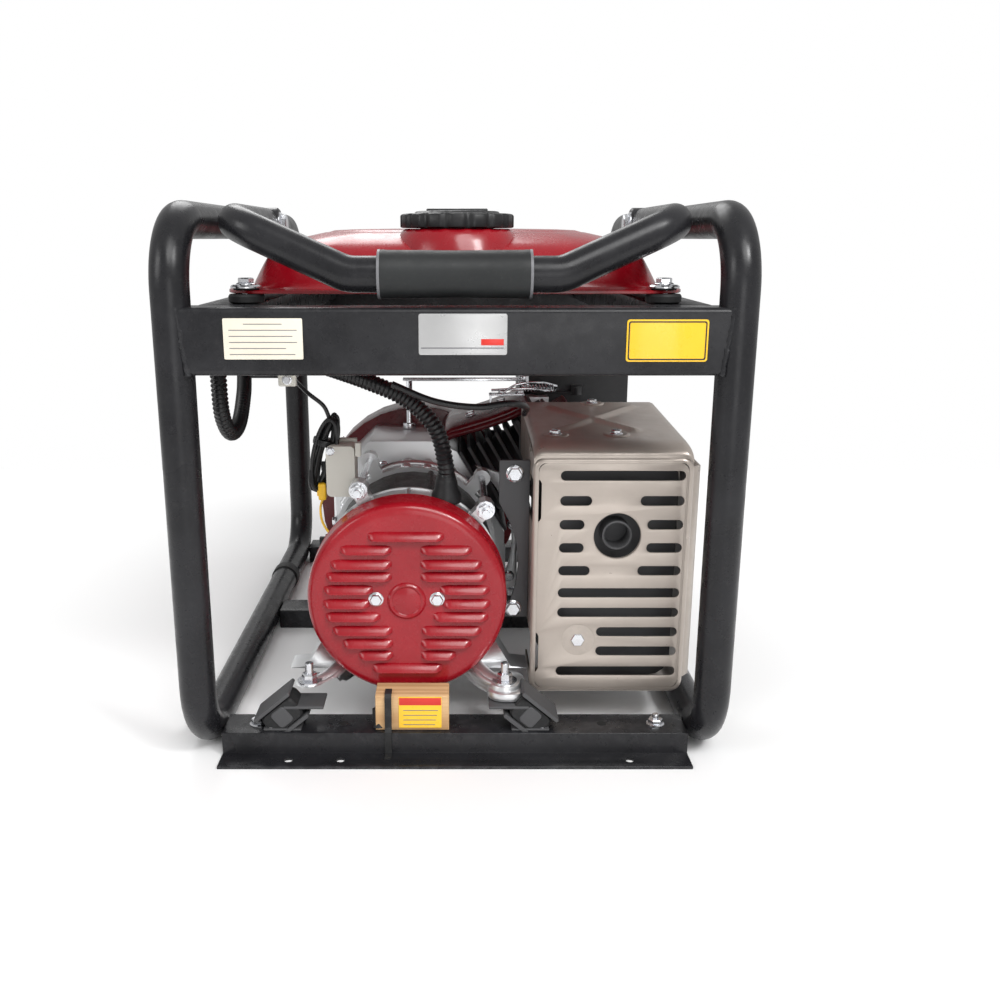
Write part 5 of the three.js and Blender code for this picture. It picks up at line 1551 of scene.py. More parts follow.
@dataclass
class StarterEnd:
    """The fan, its red shroud, the recoil starter's housing and the pull grip."""

    bolts: tuple[float, ...] = (45.0, 135.0, 225.0, 315.0)

    def build(self) -> None:
        """Builds the pull-start end."""
        dressed("flywheel_fan", (CAST_ALLOY,), 0.5).finish("shaft", ("flywheel_fan",), "cast_alloy")
        shroud = dressed("fan_shroud", (DARK_ENAMEL, ZINC), 2.4)
        low, high = span("fan_shroud")
        for angle in (22.0, 158.0, 202.0, 338.0):
            shroud.bolt(
                round_shaft(angle, 134.5, (low.y + high.y) / 2), round_shaft(angle, 1) - SHAFT, 6, 1, 3
            )
        shroud.finish(FRAME, ("fan_shroud",), "dark_red_paint")
        housing = dressed("recoil_housing", (RED_ENAMEL, ZINC, PLASTIC), 1.8)
        low, high = span("recoil_housing")
        for angle in self.bolts:
            housing.bolt(round_shaft(angle, 122, low.y + 4.2), (0, 1, 0), 6, 1, 4)
        housing.turned(
            SHAFT, (0, 1, 0),
            [(30, high.y - 16), (30, high.y - 14.5), (27, high.y - 12.5), (0, high.y - 12)], 48,
        )
        housing.bolt(SHAFT + Vector((0, high.y - 13, 0)), (0, 1, 0), 8, 1, 4)
        housing.finish(FRAME, ("recoil_housing",), "red_paint")
        dressed("recoil_grip", (PLASTIC, CREAM_FILM), 2.2).finish("recoil_grip", ("recoil_grip",), "plastic")


@dataclass
class IntakeSide:
    """The carburettor with its levers and the air cleaner's two mouldings."""

    ribs: int = 5

    def build(self) -> None:
        """Builds the intake."""
        carburettor = dressed("carburettor", (CAST_ALLOY, MACHINED, ZINC), 0.9)
        low, high = span("carburettor")
        bowl = Vector(((low.x + high.x) / 2, (low.y + high.y) / 2, low.z))
        carburettor.turned(bowl, (0, 0, -1), [(9, -3), (9, 2), (8, 3)], 28, 1)
        carburettor.hexagon(bowl + Vector((0, 0, -2)), bowl + Vector((0, 0, -9)), 10, 1)
        carburettor.finish(FRAME, ("carburettor",), "cast_alloy")
        dressed("air_cleaner_case", (PLASTIC,), 1.8).finish(FRAME, ("air_cleaner_case",), "plastic")
        cover = dressed("air_cleaner_cover", (PLASTIC, ZINC), 3.2)
        low, high = span("air_cleaner_cover")
        middle_x, middle_z = (low.x + high.x) / 2, (low.z + high.z) / 2
        for i in range(self.ribs):
            z = middle_z + (i - (self.ribs - 1) / 2) * 18
            cover.box((low.x + 24, high.y - 1.5, z - 2.2), (high.x - 24, high.y + 1.2, z + 2.2), 1.2)
        for side in (-1, 1):
            x = middle_x + side * (high.x - low.x) / 2
            cover.box((x - 1.5, low.y - 12, middle_z - 12), (x + 2.2, low.y + 16, middle_z + 12), 1.2)
            bail = ((2.6, -8, -9), (4, 12, -9), (4, 12, 9), (2.6, -8, 9))
            wire = [Vector((x + side * off, low.y + along, middle_z + up)) for off, along, up in bail]
            cover.tube(wire, 1.1, 8, 1)
        cover.finish(FRAME, ("air_cleaner_cover",), "plastic")
        dressed("choke_lever", (PLASTIC,), 0.7).finish("choke_lever", ("choke_lever",), "plastic")
        dressed("fuel_valve_lever", (RED_PLASTIC,), 0.7).finish(
            "fuel_valve_lever", ("fuel_valve_lever",), "signal_plastic"
        )


# ---------------------------------------------------------------- muffler


@dataclass
class Muffler:
    """The muffler's can, slotted front shield, creased roof and bracket."""

    left: float = 78.0
    right: float = 240.0
    front: float = -272.0
    sheet: float = 2.0
    bottom: float = 40.0
    top: float = 295.0
    corner: float = 13.0
    bend: float = 6.0
    depth: float = 60.0
    heights: tuple[float, ...] = (276, 250, 225, 200.5, 176, 152, 130.5, 109, 87.5, 65)
    slot: float = 10.0
    slot_span: tuple[float, float] = (106.0, 231.0)
    tail: tuple[float, float] = (165.0, 213.0)
    hole: float = 24.5
    dimple: tuple[float, float] = (128.0, 100.0)
    roof_back: float = -62.0
    rise: float = 20.0
    roll: float = 34.0
    roll_height: float = 12.5
    notches: tuple[float, float] = (250.0, 86.0)
    notch_half: float = 22.0
    bracket_bolts: tuple[float, float] = (270.0, 122.0)
    bracket_x: float = 62.0

    def build(self) -> None:
        """Builds the muffler and what shields it."""
        self._can()
        self._shield()
        self._roof()
        self._bracket()

    def _rows(self) -> list[tuple[float, float, float]]:
        """Where each slot starts and ends, and its height."""
        spans = []
        near, far = self.slot_span
        for row, z in enumerate(self.heights):
            breaks = {1: (138, 187), 4: (138, 187), 2: (131, 195), 3: (131, 195)}.get(row)
            if breaks:
                spans += [(near, breaks[0], z), (breaks[1], far, z)]
            else:
                spans.append((147.0 if row in (7, 8) else near, far, z))
        return spans

    def _can(self) -> None:
        """The dark can behind the shields, with its seam and its tail pipe."""
        maker = dressed("muffler_body", (HEAT_BLACK, ZINC), 2.5)
        low, high = span("muffler_body")
        for y in (-200.0, -140.0):
            seam = rounded(
                (low.x + high.x) / 2, (low.z + high.z) / 2, high.x - low.x - 6, high.z - low.z - 6, 26, 6
            )
            maker.tube([Vector((x, y, z)) for x, z in seam], 2.2, 8, closed=True)
        x, z = self.tail
        maker.turned(
            (x, 0, z), (0, 1, 0),
            [
                (13, self.front + 26), (13, self.front + 3), (14, self.front + 2.2), (15.2, self.front + 3),
                (15.2, self.front + 30),
            ],
            48,
        )
        maker.finish(FRAME, ("muffler_body",), "heat_black")

    def _shield(self) -> None:
        """The slotted face with its rolled edges, the notches at the bracket's bolts and the side wing."""
        maker = Maker("muffler_shield_pressing", SHIELD_STEEL, ZINC, SHIELD_STEEL)
        left, right, bend = self.left, self.right, self.bend
        cx, cz = (left + right) / 2, (self.bottom + self.top) / 2
        width, height = right - left, self.top - self.bottom
        slots = []
        for start, end, z in self._rows():
            slots.append(rounded((start + end) / 2, z, end - start, self.slot, self.slot / 2 - 0.1, 6))
        outlet = arc(*self.tail, self.hole, 0, 360, 48)[:-1]
        well = arc(*self.dimple, 17, 0, 360, 36)[:-1]
        face = self._outline(cx, cz, width - 2 * bend, height - 2 * bend, self.corner - bend + 2)
        maker.slab(Axis.Y, face, self.front, self.front + self.sheet, [*slots, outlet, well], 0.6)
        self._rim(maker, cx, cz, width, height)
        x, z = self.dimple
        dish = [
            (17.2, 0.0), (15.5, 0.8), (13.4, 3.6), (11.5, 4.4), (6, 4.6), (6, 6.4), (12.5, 6.2),
            (15.0, 5.2), (17.6, 2.0),
        ]
        maker.turned((x, self.front, z), (0, 1, 0), dish, 48)
        maker.bolt((x, self.front + 4.6, z), (0, -1, 0), 8, 1, 8)
        lip = [
            (self.hole + 0.6, 0.2), (self.hole - 0.4, 0.6), (self.hole - 0.8, 2.4), (self.hole - 0.6, 4.0),
            (self.hole + 0.2, 4.0), (self.hole + 0.4, 2.0),
        ]
        maker.turned((self.tail[0], self.front, self.tail[1]), (0, 1, 0), lip, 64, hollow=True)
        wing = [
            (right - 1, self.front + 9.5), (right + 3, self.front + 11.5), (right + 9.6, self.front + 19),
            (right + 10.4, self.front + 58), (right + 8.6, self.front + 58), (right + 8, self.front + 20.4),
            (right + 2, self.front + 13.5), (right - 1.5, self.front + 12),
        ]
        maker.slab(Axis.Z, wing, self.bottom + 14, self.top - 12, edge=0.4)
        for z in (self.bottom + 40, self.top - 40):
            maker.bolt((right + 10.4, self.front + 40, z), (1, 0, 0), 5, 1, 3)
        maker.finish(FRAME, ("muffler_front_shield",), "shield_steel", 38)

    def _outline(
        self, cx: float, cz: float, width: float, height: float, radius: float
    ) -> list[tuple[float, float]]:
        """The flat part's outline, with two bites out of the left edge.

        Args:
            cx: The face's middle.
            cz: The face's middle height.
            width: The flat part's width.
            height: The flat part's height.
            radius: Its corner radius.

        Returns:
            The outline, anticlockwise.
        """
        points = rounded(cx, cz, width, height, radius, 6)
        left = cx - width / 2
        bite = [(0.0, 0.0), (1.5, 1.0), (3.0, 4.0)]
        walk = []
        for i, point in enumerate(points):
            walk.append(point)
            after = points[(i + 1) % len(points)]
            if abs(point[0] - left) < 0.01 and abs(after[0] - left) < 0.01 and point[1] > after[1]:
                for z in self.notches:
                    walk += [(left + deep, z + self.notch_half - down) for deep, down in bite]
                    walk += [(left + deep, z - self.notch_half + up) for deep, up in reversed(bite)]
        return walk

    def _rim(self, maker: Maker, cx: float, cz: float, width: float, height: float) -> None:
        """The rolled edge and the flange that runs back from it.

        Args:
            maker: The shield.
            cx: The face's middle.
            cz: The face's middle height.
            width: The shield's width.
            height: The shield's height.
        """
        rings = []
        steps = 7
        profile = [
            (math.sin(math.pi / 2 * i / steps), 1 - math.cos(math.pi / 2 * i / steps))
            for i in range(steps + 1)
        ]
        path = [*((-self.bend * (1 - a), self.bend * b) for a, b in profile), (0.0, self.depth)]
        outer = [(inset, self.front + back) for inset, back in path]
        inner = []
        for inset, back in reversed(path):
            share = back / self.bend
            thin = self.sheet if back > self.bend * 0.5 else self.sheet * share
            inner.append((inset - thin, self.front + back + self.sheet * (1 - min(1.0, share))))
        for inset, y in [*outer, *inner]:
            grown_x, grown_z = width + 2 * inset, height + 2 * inset
            radius = max(3.0, self.corner + inset)
            ring = [(x, y, z) for x, z in self._dense(rounded(cx, cz, grown_x, grown_z, radius, 8))]
            rings.append(ring)
        rings.append(rings[0])
        start = len(maker.mesh.faces)
        maker.loft(rings, caps=(False, False))
        maker.mesh.faces.ensure_lookup_table()
        gone = []
        for face in maker.mesh.faces[start:]:
            c = face.calc_center_median()
            beside = any(abs(c.z - z) < self.notch_half for z in self.notches)
            if c.x < self.left + self.sheet + 0.8 and c.y > self.front + 3.2 and beside:
                gone.append(face)
        bmesh.ops.delete(maker.mesh, geom=gone, context="FACES")

    def _dense(self, ring: Sequence[tuple[float, float]]) -> list[tuple[float, float]]:
        """Splits the long sides so that the notches end on edges.

        Args:
            ring: A closed ring of (x, z) points.

        Returns:
            The same ring with more points.
        """
        marks = sorted(z + shift for z in self.notches for shift in (-self.notch_half, self.notch_half))
        walk: list[tuple[float, float]] = []
        for i, point in enumerate(ring):
            walk.append(point)
            after = ring[(i + 1) % len(ring)]
            if abs(point[0] - after[0]) < 0.01 and abs(point[1] - after[1]) > 60:
                between = [m for m in marks if min(point[1], after[1]) < m < max(point[1], after[1])]
                walk += [(point[0], m) for m in sorted(between, reverse=point[1] > after[1])]
        return walk

    def _roof(self) -> None:
        """The sloping roof with its rolled front, pressed cross beads and dimpled screws."""
        maker = Maker("muffler_roof_pressing", SHIELD_STEEL, ZINC)
        left, right = self.left + 1.0, self.right - 1.0
        low = self.top + 0.3
        front, back = self.front + 2.0, self.roof_back
        turns = 9
        line: list[tuple[float, float]] = []
        for i in range(turns + 1):
            angle = math.pi / 2 * i / turns
            line.append((front + self.roll * (1 - math.cos(angle)), low + self.roll_height * math.sin(angle)))
        steps = 46
        for i in range(1, steps + 1):
            y = front + self.roll + (back - front - self.roll) * i / steps
            line.append((y, low + self.roll_height + (self.rise - self.roll_height + 1.5) * i / steps))
        columns = 44
        across = [left + (right - left) * i / columns for i in range(columns + 1)]
        rings = []
        for x in across:
            edge = min(x - left, right - x)
            dip = 6.0 * max(0.0, 1 - edge / 7.0) ** 2
            top = [
                (x, y, z - dip + self._bead(x, y) * min(1.0, max(0.0, (y - front - self.roll - 2) / 12)))
                for y, z in line
            ]
            under = [(x, y, z - 2.0) for x, y, z in reversed(top)]
            rings.append(top + under)
        maker.loft(rings)
        for x in (left, right - 2):
            skirt = [
                (front + 62, low - 39.6), (back - 1, low - 39.6), (back, low + self.rise - 4),
                (front + 8, low - 2 + 0.2), (front + 62, low - 2),
            ]
            maker.slab(Axis.X, skirt, x, x + 2, edge=0.4)
        for x, y in ((168.0, -221.0), (162.0, -69.0), (104.0, -222.0)):
            share = max(0.0, y - front - self.roll) / (back - front - self.roll)
            z = low + self.roll_height + (self.rise - 11) * share
            maker.turned(
                (x, y, z), (0, 0, 1), [(15, -0.6), (13.5, 0.7), (11.5, 1.0), (9.5, 0.6), (0, 0.5)], 40
            )
            maker.bolt((x, y, z + 0.4), (0, 0, 1), 6, 1, 6)
        maker.finish(FRAME, ("muffler_top_shield",), "shield_steel", 36)

    @staticmethod
    def _bead(x: float, y: float) -> float:
        """Height of the two crossed beads pressed into the roof at a point.

        Args:
            x: The point's place across.
            y: The point's place along.

        Returns:
            How far the sheet stands up there.
        """
        rise = 0.0
        for start, end in (((108, -206), (206, -90)), ((190, -206), (110, -90))):
            a, b, p = Vector(start), Vector(end), Vector((x, y))
            way = b - a
            share = max(0.0, min(1.0, (p - a).dot(way) / way.length_squared))
            off = (p - a - way * share).length
            rise = max(rise, 3.4 * math.exp(-((off / 4.6) ** 2)))
        return rise

    def _bracket(self) -> None:
        """The pressed bracket beside the shield, with its bolts."""
        maker = dressed("muffler_bracket", (HEAT_BLACK, ZINC), 1.2)
        face = span("muffler_bracket")[0].y
        for z in self.bracket_bolts:
            maker.bolt((self.bracket_x, face, z), (0, -1, 0), 8, 1, 6)
        maker.finish(FRAME, ("muffler_bracket",), "heat_black")


# ---------------------------------------------------------------- supports


@dataclass
class Supports:
    """The leaning rubber mounts, the transit block, its strap, the hose end and the tube clip."""

    tip: float = 0.7
    shells: tuple[tuple[float, ...], ...] = (
        (40, 25, 15.5, 0.0, 6.0, 0),
        (47, 4, 18.0, 15.0, 1.6, 1),
        (45, 4, 18.0, -14.5, 1.6, 1),
        (18, 20, 16.5, 0.0, 4.0, 1),
    )
    tag_width: float = 43.0
    strap_x: float = -67.0
    strap_half: float = 3.4

    def build(self) -> None:
        """Builds everything that holds the set up."""
        for node, lean in (("front_left", -1), ("front_right", 1), ("rear_left", -1), ("rear_right", 1)):
            self._isolator("isolator_" + node, lean)
        self._block()
        self._strap()
        self._clip()

    def _isolator(self, node: str, lean: int) -> None:
        """One rubber mount between two pressed shells, leaning outwards.

        Args:
            node: Its CAD node.
            lean: -1 to lean to the left, 1 to the right.
        """
        low, high = span(node)
        at = (low + high) / 2
        maker = Maker(node + "_mount", RUBBER, HEAT_BLACK, ZINC)
        foot = Vector((at.x + lean * 17, at.y, low.z))
        centre = Vector((at.x + lean * 17, at.y, (low.z + high.z) / 2 + 1))
        for *sizes, finish in self.shells:
            self._tilted(maker, centre, lean, sizes, int(finish))
        maker.box((foot.x - 19, at.y - 17, low.z), (foot.x + 19, at.y + 17, low.z + 2.4), 0.8, 1)
        maker.box(
            (at.x - lean * 5 - 20, at.y - 16, high.z - 3.2), (at.x - lean * 5 + 20, at.y + 16, high.z), 0.8,
            1,
        )
        nut = Vector((foot.x + lean * 12, at.y - 10, low.z + 2.4))
        maker.bolt(nut, (0, 0, 1), 5, 2, 2)
        maker.finish(FRAME, (node,), "rubber")

    def _tilted(self, maker: Maker, centre: Vector, lean: int, sizes: Sequence[float], finish: int) -> None:
        """A block with rounded edges, tipped outwards about the set's length.

        Args:
            maker: The mount.
            centre: Its middle.
            lean: -1 to tip to the left, 1 to the right.
            sizes: Width, height, half depth, shift across the tipped faces and edge radius.
            finish: The finish's number.
        """
        width, height, half_y, shift, edge = sizes
        along = Vector((lean * math.cos(self.tip), 0, -math.sin(self.tip)))
        across = Vector((lean * math.sin(self.tip), 0, math.cos(self.tip)))
        rings = []
        near, small = half_y - edge * 0.4, edge * 0.5
        for y, inset in ((-half_y, small), (-near, 0.0), (near, 0.0), (half_y, small)):
            outline = rounded(0, shift, width - inset, height - inset, min(edge, height * 0.45), 4)
            rings.append([centre + along * u + across * v + Vector((0, y, 0)) for u, v in outline])
        maker.loft(rings, finish)

    def _block(self) -> None:
        """The wooden block wedged under the alternator for transport, with its blank tag."""
        low, high = span("transit_block")
        maker = Maker("transit_block_wood", WOOD)
        maker.box((low.x, low.y, low.z), (high.x, high.y, high.z), 0.9, steps=2)
        bmesh.ops.subdivide_edges(maker.mesh, edges=list(maker.mesh.edges), cuts=2, use_grid_fill=True)
        dice = Random(4)
        for v in maker.mesh.verts:
            v.co += Vector((dice.uniform(-0.12, 0.12), dice.uniform(-0.12, 0.12), 0))
        maker.finish(FRAME, ("transit_block",), "wood", 40)
        tag = Maker("transit_tag", YELLOW_FILM, RED_FILM, GREY_FILM)
        front = low.y - 0.2
        middle_x = (low.x + high.x) / 2 + 8
        tag.slab(
            Axis.Y, rounded(middle_x, (low.z + high.z) / 2 + 1, self.tag_width, high.z - low.z - 4, 0.6, 3),
            front - 0.5, front, edge=0.15,
        )
        tag.box(
            (middle_x - 21, front - 0.62, high.z - 10), (middle_x + 21, front - 0.45, high.z - 2), 0.04, 1
        )
        for row in range(4):
            z = low.z + 6 + row * 5.2
            tag.box((middle_x - 17, front - 0.6, z), (middle_x + 15 + row, front - 0.45, z + 0.8), 0.03, 2)
        tag.finish(FRAME, crease=25)

    def _strap(self) -> None:
        """The black strap from the block over the rail, and the hose end beside it."""
        maker = Maker("transit_strap", RUBBER)
        x, half = self.strap_x, self.strap_half
        top = span("transit_block")[1].z
        line = [
            (-315, top + 1.4), (-326.5, top + 1.2), (-329.6, top - 1.5), (-330.4, 40), (-331, 30),
            (-334.4, 26.4), (-335, 18), (-335.2, 6), (-336, 4.2), (-346, 3.6),
        ]
        rings = []
        for i, (y, z) in enumerate(line):
            before, after = line[max(0, i - 1)], line[min(len(line) - 1, i + 1)]
            way = Vector((after[0] - before[0], after[1] - before[1])).normalized()
            off = Vector((way.y, -way.x)) * 0.8
            rings.append(
                [
                    (x + sign * half, y + lift * off.x, z + lift * off.y)
                    for sign, lift in ((-1, 1), (1, 1), (1, -1), (-1, -1))
                ]
            )
        maker.loft(rings)
        maker.turned(
            (-78, -318, 46), (0.05, -0.25, -1),
            [(4.2, 0), (5.8, 1), (6, 6), (5.4, 8), (5.4, 18), (6, 20), (4, 20.4), (3.6, 8)], 28,
        )
        maker.finish(FRAME, slot="rubber")

    def _clip(self) -> None:
        """The band round the left bottom tube, and the pale bracket under the front beam."""
        clip = Maker("tube_clip", RUBBER, ZINC)
        tube = SideHoops.tube / 2
        band = [(17.6, -10), (19.4, -9.4), (19.4, 9.4), (17.6, 10)]
        clip.turned((span("hoop_left")[0].x + tube, 170, tube), (0, 1, 0), band, 40, hollow=True)
        for vertex in clip.mesh.verts:
            vertex.co.z = max(vertex.co.z, 0.1)
        clip.finish(FRAME, slot="rubber")
        bracket = Maker("under_beam_bracket", GREY_PLASTIC, ZINC)
        bracket.box((-166, -310, 371), (-149, -305, 386.5), 1.6)
        bracket.box((-170, -318, 384), (-145, -298, 386.8), 0.8)
        bracket.bolt((-157.5, -310, 377.5), (0, -1, 0), 4, 1, 3)
        bracket.finish(FRAME, slot="grey_plastic")


# ---------------------------------------------------------------- control box


@dataclass
class ControlBox:
    """The side control box with its panel, outlets, breaker, meter, switch and earth terminal."""

    meter_y: float = 205.0
    row_z: float = 392.5
    meter: float = 19.0

    def build(self) -> None:
        """Builds the box and what is on its face."""
        box = dressed("control_box", (FRAME_PAINT, ZINC), 1.6)
        low, high = span("control_box")
        for y in (low.y + 14, high.y - 14):
            box.bolt(((low.x + high.x) / 2, y, high.z - 3.2), (0, 0, 1), 6, 1, 3)
        box.finish(FRAME, ("control_box",), "frame_paint")
        self._panel()
        for node in ("socket_duplex", "socket_locking"):
            dressed(node, (PLASTIC,), 0.5).finish(FRAME, (node,), "plastic")
        for flap in ("flap_duplex", "flap_locking"):
            dressed(flap, (GREY_PLASTIC,), 1.0).finish(flap, (flap,), "grey_plastic")
        dressed("breaker_toggle", (PLASTIC,), 0.6).finish("breaker_toggle", ("breaker_toggle",), "plastic")
        dressed("engine_switch_rocker", (RED_PLASTIC,), 0.7).finish(
            "engine_switch", ("engine_switch_rocker",), "signal_plastic"
        )

    def _panel(self) -> None:
        """The panel with screws, an hour meter with a plain dial, and the earth terminal."""
        maker = dressed("control_panel", (GREY_PLASTIC, ZINC, PLASTIC, DIAL_FACE, PAINTED_SHADOW), 1.2)
        low, high = span("control_panel")
        face = -258.3
        for y in (low.y + 9, high.y - 9):
            for z in (low.z + 9, high.z - 9):
                maker.turned((face, y, z), (-1, 0, 0), [(4.6, 0), (4.6, 0.8), (3.4, 1.9), (0, 2.2)], 24, 1)
                # A thin black bar of painted shadow stands in for the slot in each screw head.
                maker.box((face - 2.5, y - 3, z - 0.5), (face - 1.9, y + 3, z + 0.5), 0.05, 4)
        centre = Vector((face, self.meter_y, self.row_z))
        maker.turned(
            centre, (-1, 0, 0),
            [(24, 0), (24.5, 1.5), (23, 3.4), (20, 3.6), (self.meter, 2.4), (self.meter, 0)], 56, 2,
            hollow=True,
        )
        maker.turned(centre, (-1, 0, 0), [(self.meter, 1.2), (self.meter, 2.0), (0, 2.1)], 56, 3)
        for i in range(9):
            angle = math.radians(-130 + i * 32.5)
            out = Vector((0, math.sin(angle), math.cos(angle)))
            inner, outer = centre + out * 13 - Vector((2.2, 0, 0)), centre + out * 17 - Vector((2.2, 0, 0))
            maker.rod(inner, outer, 0.5, sides=6, finish=2)
        maker.rod(centre - Vector((2.4, 0, 0)), centre + Vector((-2.4, -8, 10)), 0.6, sides=8, finish=2)
        maker.turned(centre - Vector((2.0, 0, 0)), (-1, 0, 0), [(3, 0), (2.6, 1.2), (0, 1.4)], 20, 2)
        earth = Vector((face, high.y - 22, low.z + 20))
        maker.hexagon(earth, earth - Vector((3.5, 0, 0)), 11, 1)
        maker.rod(earth, earth - Vector((9, 0, 0)), 2.8, finish=1)
        maker.finish(FRAME, ("control_panel",), "grey_plastic")


# ---------------------------------------------------------------- wiring


@dataclass(frozen=True)
class Conduit:
    """One corrugated conduit between two fixed fittings."""

    node: str
    stops: tuple[Point, ...]
    radius: float
    pitch: float = 4.8
    depth: float = 1.5

    def build(self) -> None:
        """Builds the conduit."""
        line = even_line(smooth_line(self.stops, 24), self.pitch / 4)
        sizes = [
            self.radius - self.depth * (0.5 - 0.5 * math.cos(math.tau * i / 4)) for i in range(len(line))
        ]
        maker = Maker(self.node + "_hose", CONDUIT, PLASTIC)
        maker.tube(line, sizes, 22)
        for end, inner in ((line[0], line[6]), (line[-1], line[-7])):
            way = (inner - end).normalized()
            nose = [
                (self.radius + 0.3, -1), (self.radius + 2.4, 0), (self.radius + 2.4, 6),
                (self.radius + 1.2, 10), (self.radius + 0.2, 15),
            ]
            maker.turned(end, way, nose, 28, 1)
        piece = maker.finish(FRAME, (self.node,), "rubber", 60)
        path = even_line(smooth_line(self.stops, 24), 8.0)


@dataclass
class Wiring:
    """The two conduits, the tied hank of spare lead and the lead under the front beam."""

    main_stops: tuple[Point, ...] = (
        (-9, -236, 255), (-10, -240, 282), (-20, -238, 318), (-48, -228, 345), (-90, -212, 362),
        (-150, -170, 376), (-205, -110, 388), (-215, -64, 388),
    )
    loop_stops: tuple[Point, ...] = (
        (-222, -308, 412), (-224, -300, 380), (-226, -285, 340), (-224, -262, 318), (-222, -230, 322),
        (-226, -180, 346), (-238, -110, 368), (-240, -64, 372),
    )

    def build_cords(self) -> None:
        """Builds the conduits."""
        Conduit("conduit_main", self.main_stops, 9.0).build()
        Conduit("conduit_loop", self.loop_stops, 8.0).build()

    def build_leads(self) -> None:
        """Builds the boot, the hank and the lead under the beam."""
        boot = Maker("alternator_boot", PLASTIC)
        boot.turned(
            (-9, -236, 240), (0, -0.05, 1),
            [(15, 0), (16, 3), (15.4, 9), (12.6, 14), (11.4, 22), (10.2, 26), (9.2, 27)], 32,
        )
        boot.finish(FRAME, slot="plastic")
        hank = Maker("lead_hank", CONDUIT)
        dice = Random(9)
        for k in range(14):
            lean = math.radians(16 + dice.uniform(-5, 5))
            long, wide, depth = 40 + dice.uniform(-5, 4), 7 + dice.uniform(-3, 6), dice.uniform(-9, 9)
            loop = []
            for i in range(48):
                angle = math.tau * i / 48
                a, b = long * math.cos(angle), wide * math.sin(angle)
                loop.append(
                    Vector(
                        (
                            -138 + b * math.cos(lean) + a * math.sin(lean),
                            -204 + depth + 2 * math.sin(2 * angle + k), 284 + a * math.cos(lean),
                        )
                    )
                )
            hank.tube(loop, 2.2, 10, closed=True)
        hank.turned((-138, -204, 297), (0.25, 0, 1), [(9, -4), (12.5, -3), (12.8, 0), (12.5, 3), (9, 4)], 20)
        up = smooth_line(
            [
                (-132, -205, 322), (-138, -206, 336), (-152, -214, 350), (-160, -240, 366),
                (-158, -290, 380), (-156, -312, 386),
            ],
            10,
        )
        hank.tube(up, 2.2, 12)
        down = smooth_line([(-140, -205, 276), (-140, -208, 268), (-137, -212, 260)], 8)
        hank.tube(down, 2.2, 12)
        hank.finish(FRAME, slot="rubber")
        lead = Maker("under_beam_lead", CONDUIT)
        lead.tube(
            smooth_line(
                [
                    (-60, -300, 372), (-20, -302, 356), (20, -300, 350), (52, -290, 352), (70, -262, 344),
                    (72, -220, 330),
                ],
                12,
            ),
            3.2, 14,
        )
        lead.finish(FRAME, slot="rubber")


# ---------------------------------------------------------------- studio


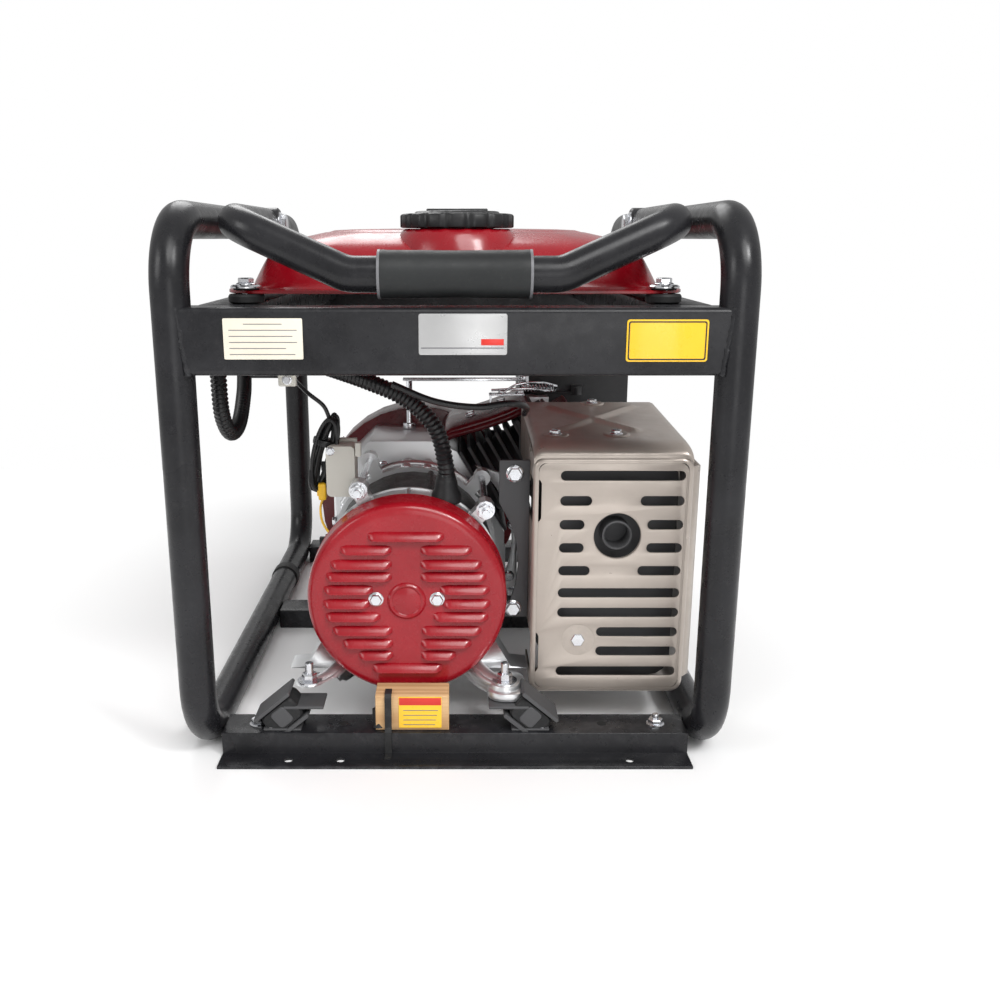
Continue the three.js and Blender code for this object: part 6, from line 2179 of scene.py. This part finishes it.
@dataclass(frozen=True)
class Studio:
    """The pale floor, the soft lights and the camera."""

    camera_at: tuple[float, float, float] = (0.0, -1.245, 0.506)
    down: float = 14.68
    shift: float = 0.045
    sky: float = 0.55
    sun: float = 1.3
    floor_half: float = 1.6
    floor_back: float = 0.95

    def camera(self) -> None:
        """Sets up the camera."""
        data = bpy.data.cameras.new("camera")
        data.lens, data.sensor_width, data.shift_x = 36.0, 36.0, self.shift
        data.clip_start, data.clip_end = 0.02, 60.0
        view = bpy.data.objects.new("camera", data)
        view.location = self.camera_at
        view.rotation_euler = (math.radians(90.0 - self.down), 0.0, 0.0)
        bpy.context.scene.collection.objects.link(view)
        bpy.context.scene.camera = view

    def floor(self) -> None:
        """Lays the floor."""
        mesh = bpy.data.meshes.new("floor")
        wide, back = self.floor_half, self.floor_back
        mesh.from_pydata(
            [(-wide, -wide, 0), (wide, -wide, 0), (wide, back, 0), (-wide, back, 0)], [], [(0, 1, 2, 3)]
        )
        paper = bpy.data.materials.new("floor_paper")
        paper.use_nodes = True
        surface = paper.node_tree.nodes["Principled BSDF"]
        surface.inputs["Base Color"].default_value = (0.93, 0.93, 0.93, 1.0)
        surface.inputs["Roughness"].default_value = 0.75
        surface.inputs["Specular IOR Level"].default_value = 0.25
        mesh.materials.append(paper)
        floor = bpy.data.objects.new("floor", mesh)
        bpy.context.scene.collection.objects.link(floor)

    def lights(self) -> None:
        """Hangs the soft lights."""
        bpy.context.scene.view_settings.view_transform = "Standard"
        world = bpy.data.worlds.new("studio")
        world.use_nodes = True
        tree = world.node_tree
        lit = tree.nodes["Background"]
        lit.inputs["Strength"].default_value = self.sky
        seen = tree.nodes.new("ShaderNodeBackground")
        mix = tree.nodes.new("ShaderNodeMixShader")
        rays = tree.nodes.new("ShaderNodeLightPath")
        for paper in (lit, seen):
            paper.inputs["Color"].default_value = (1.0, 1.0, 1.0, 1.0)
        tree.links.new(rays.outputs["Is Camera Ray"], mix.inputs["Fac"])
        tree.links.new(lit.outputs["Background"], mix.inputs[1])
        tree.links.new(seen.outputs["Background"], mix.inputs[2])
        tree.links.new(mix.outputs["Shader"], tree.nodes["World Output"].inputs["Surface"])
        bpy.context.scene.world = world
        for name, at, size, power in (
            ("key", (1.5, -1.8, 2.3), 0.6, 32.0), ("fill", (-2.1, -1.5, 1.5), 1.1, 14.0),
            ("rim", (-0.5, 2.2, 2.4), 1.5, 26.0), ("low", (0.4, -2.6, 0.5), 1.0, 6.0),
        ):
            data = bpy.data.lights.new(name, "AREA")
            data.size, data.energy = size, power
            lamp = bpy.data.objects.new(name, data)
            lamp.location = at
            lamp.rotation_euler = (Vector((0, 0, 0.25)) - Vector(at)).to_track_quat("-Z", "Y").to_euler()
            bpy.context.scene.collection.objects.link(lamp)
        data = bpy.data.lights.new("daylight", "SUN")
        data.energy, data.angle = self.sun, math.radians(30.0)
        lamp = bpy.data.objects.new("daylight", data)
        lamp.rotation_euler = (math.radians(38.0), math.radians(16.0), 0.0)
        bpy.context.scene.collection.objects.link(lamp)


def main() -> None:
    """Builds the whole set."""
    logging.basicConfig(level=logging.INFO, format="%(message)s")
    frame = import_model()
    NODES.update(frame["nodes"])
    JOINTS.update({j["name"]: j for j in frame["record"]["behaviour"]["joints"]})
    studio = Studio()
    studio.camera()
    wiring = Wiring()
    wiring.build_cords()
    for part in (
        SideHoops(), CrossBeams(), BaseRails(), FuelTank(), CarryHandle(), AlternatorEnd(), Engine(),
        StarterEnd(), IntakeSide(), Muffler(), Supports(), ControlBox(),
    ):
        part.build()
        LOG.info("built: %s", type(part).__name__)
    wiring.build_leads()
    studio.floor()
    studio.lights()


if __name__ == "__main__":
    main()
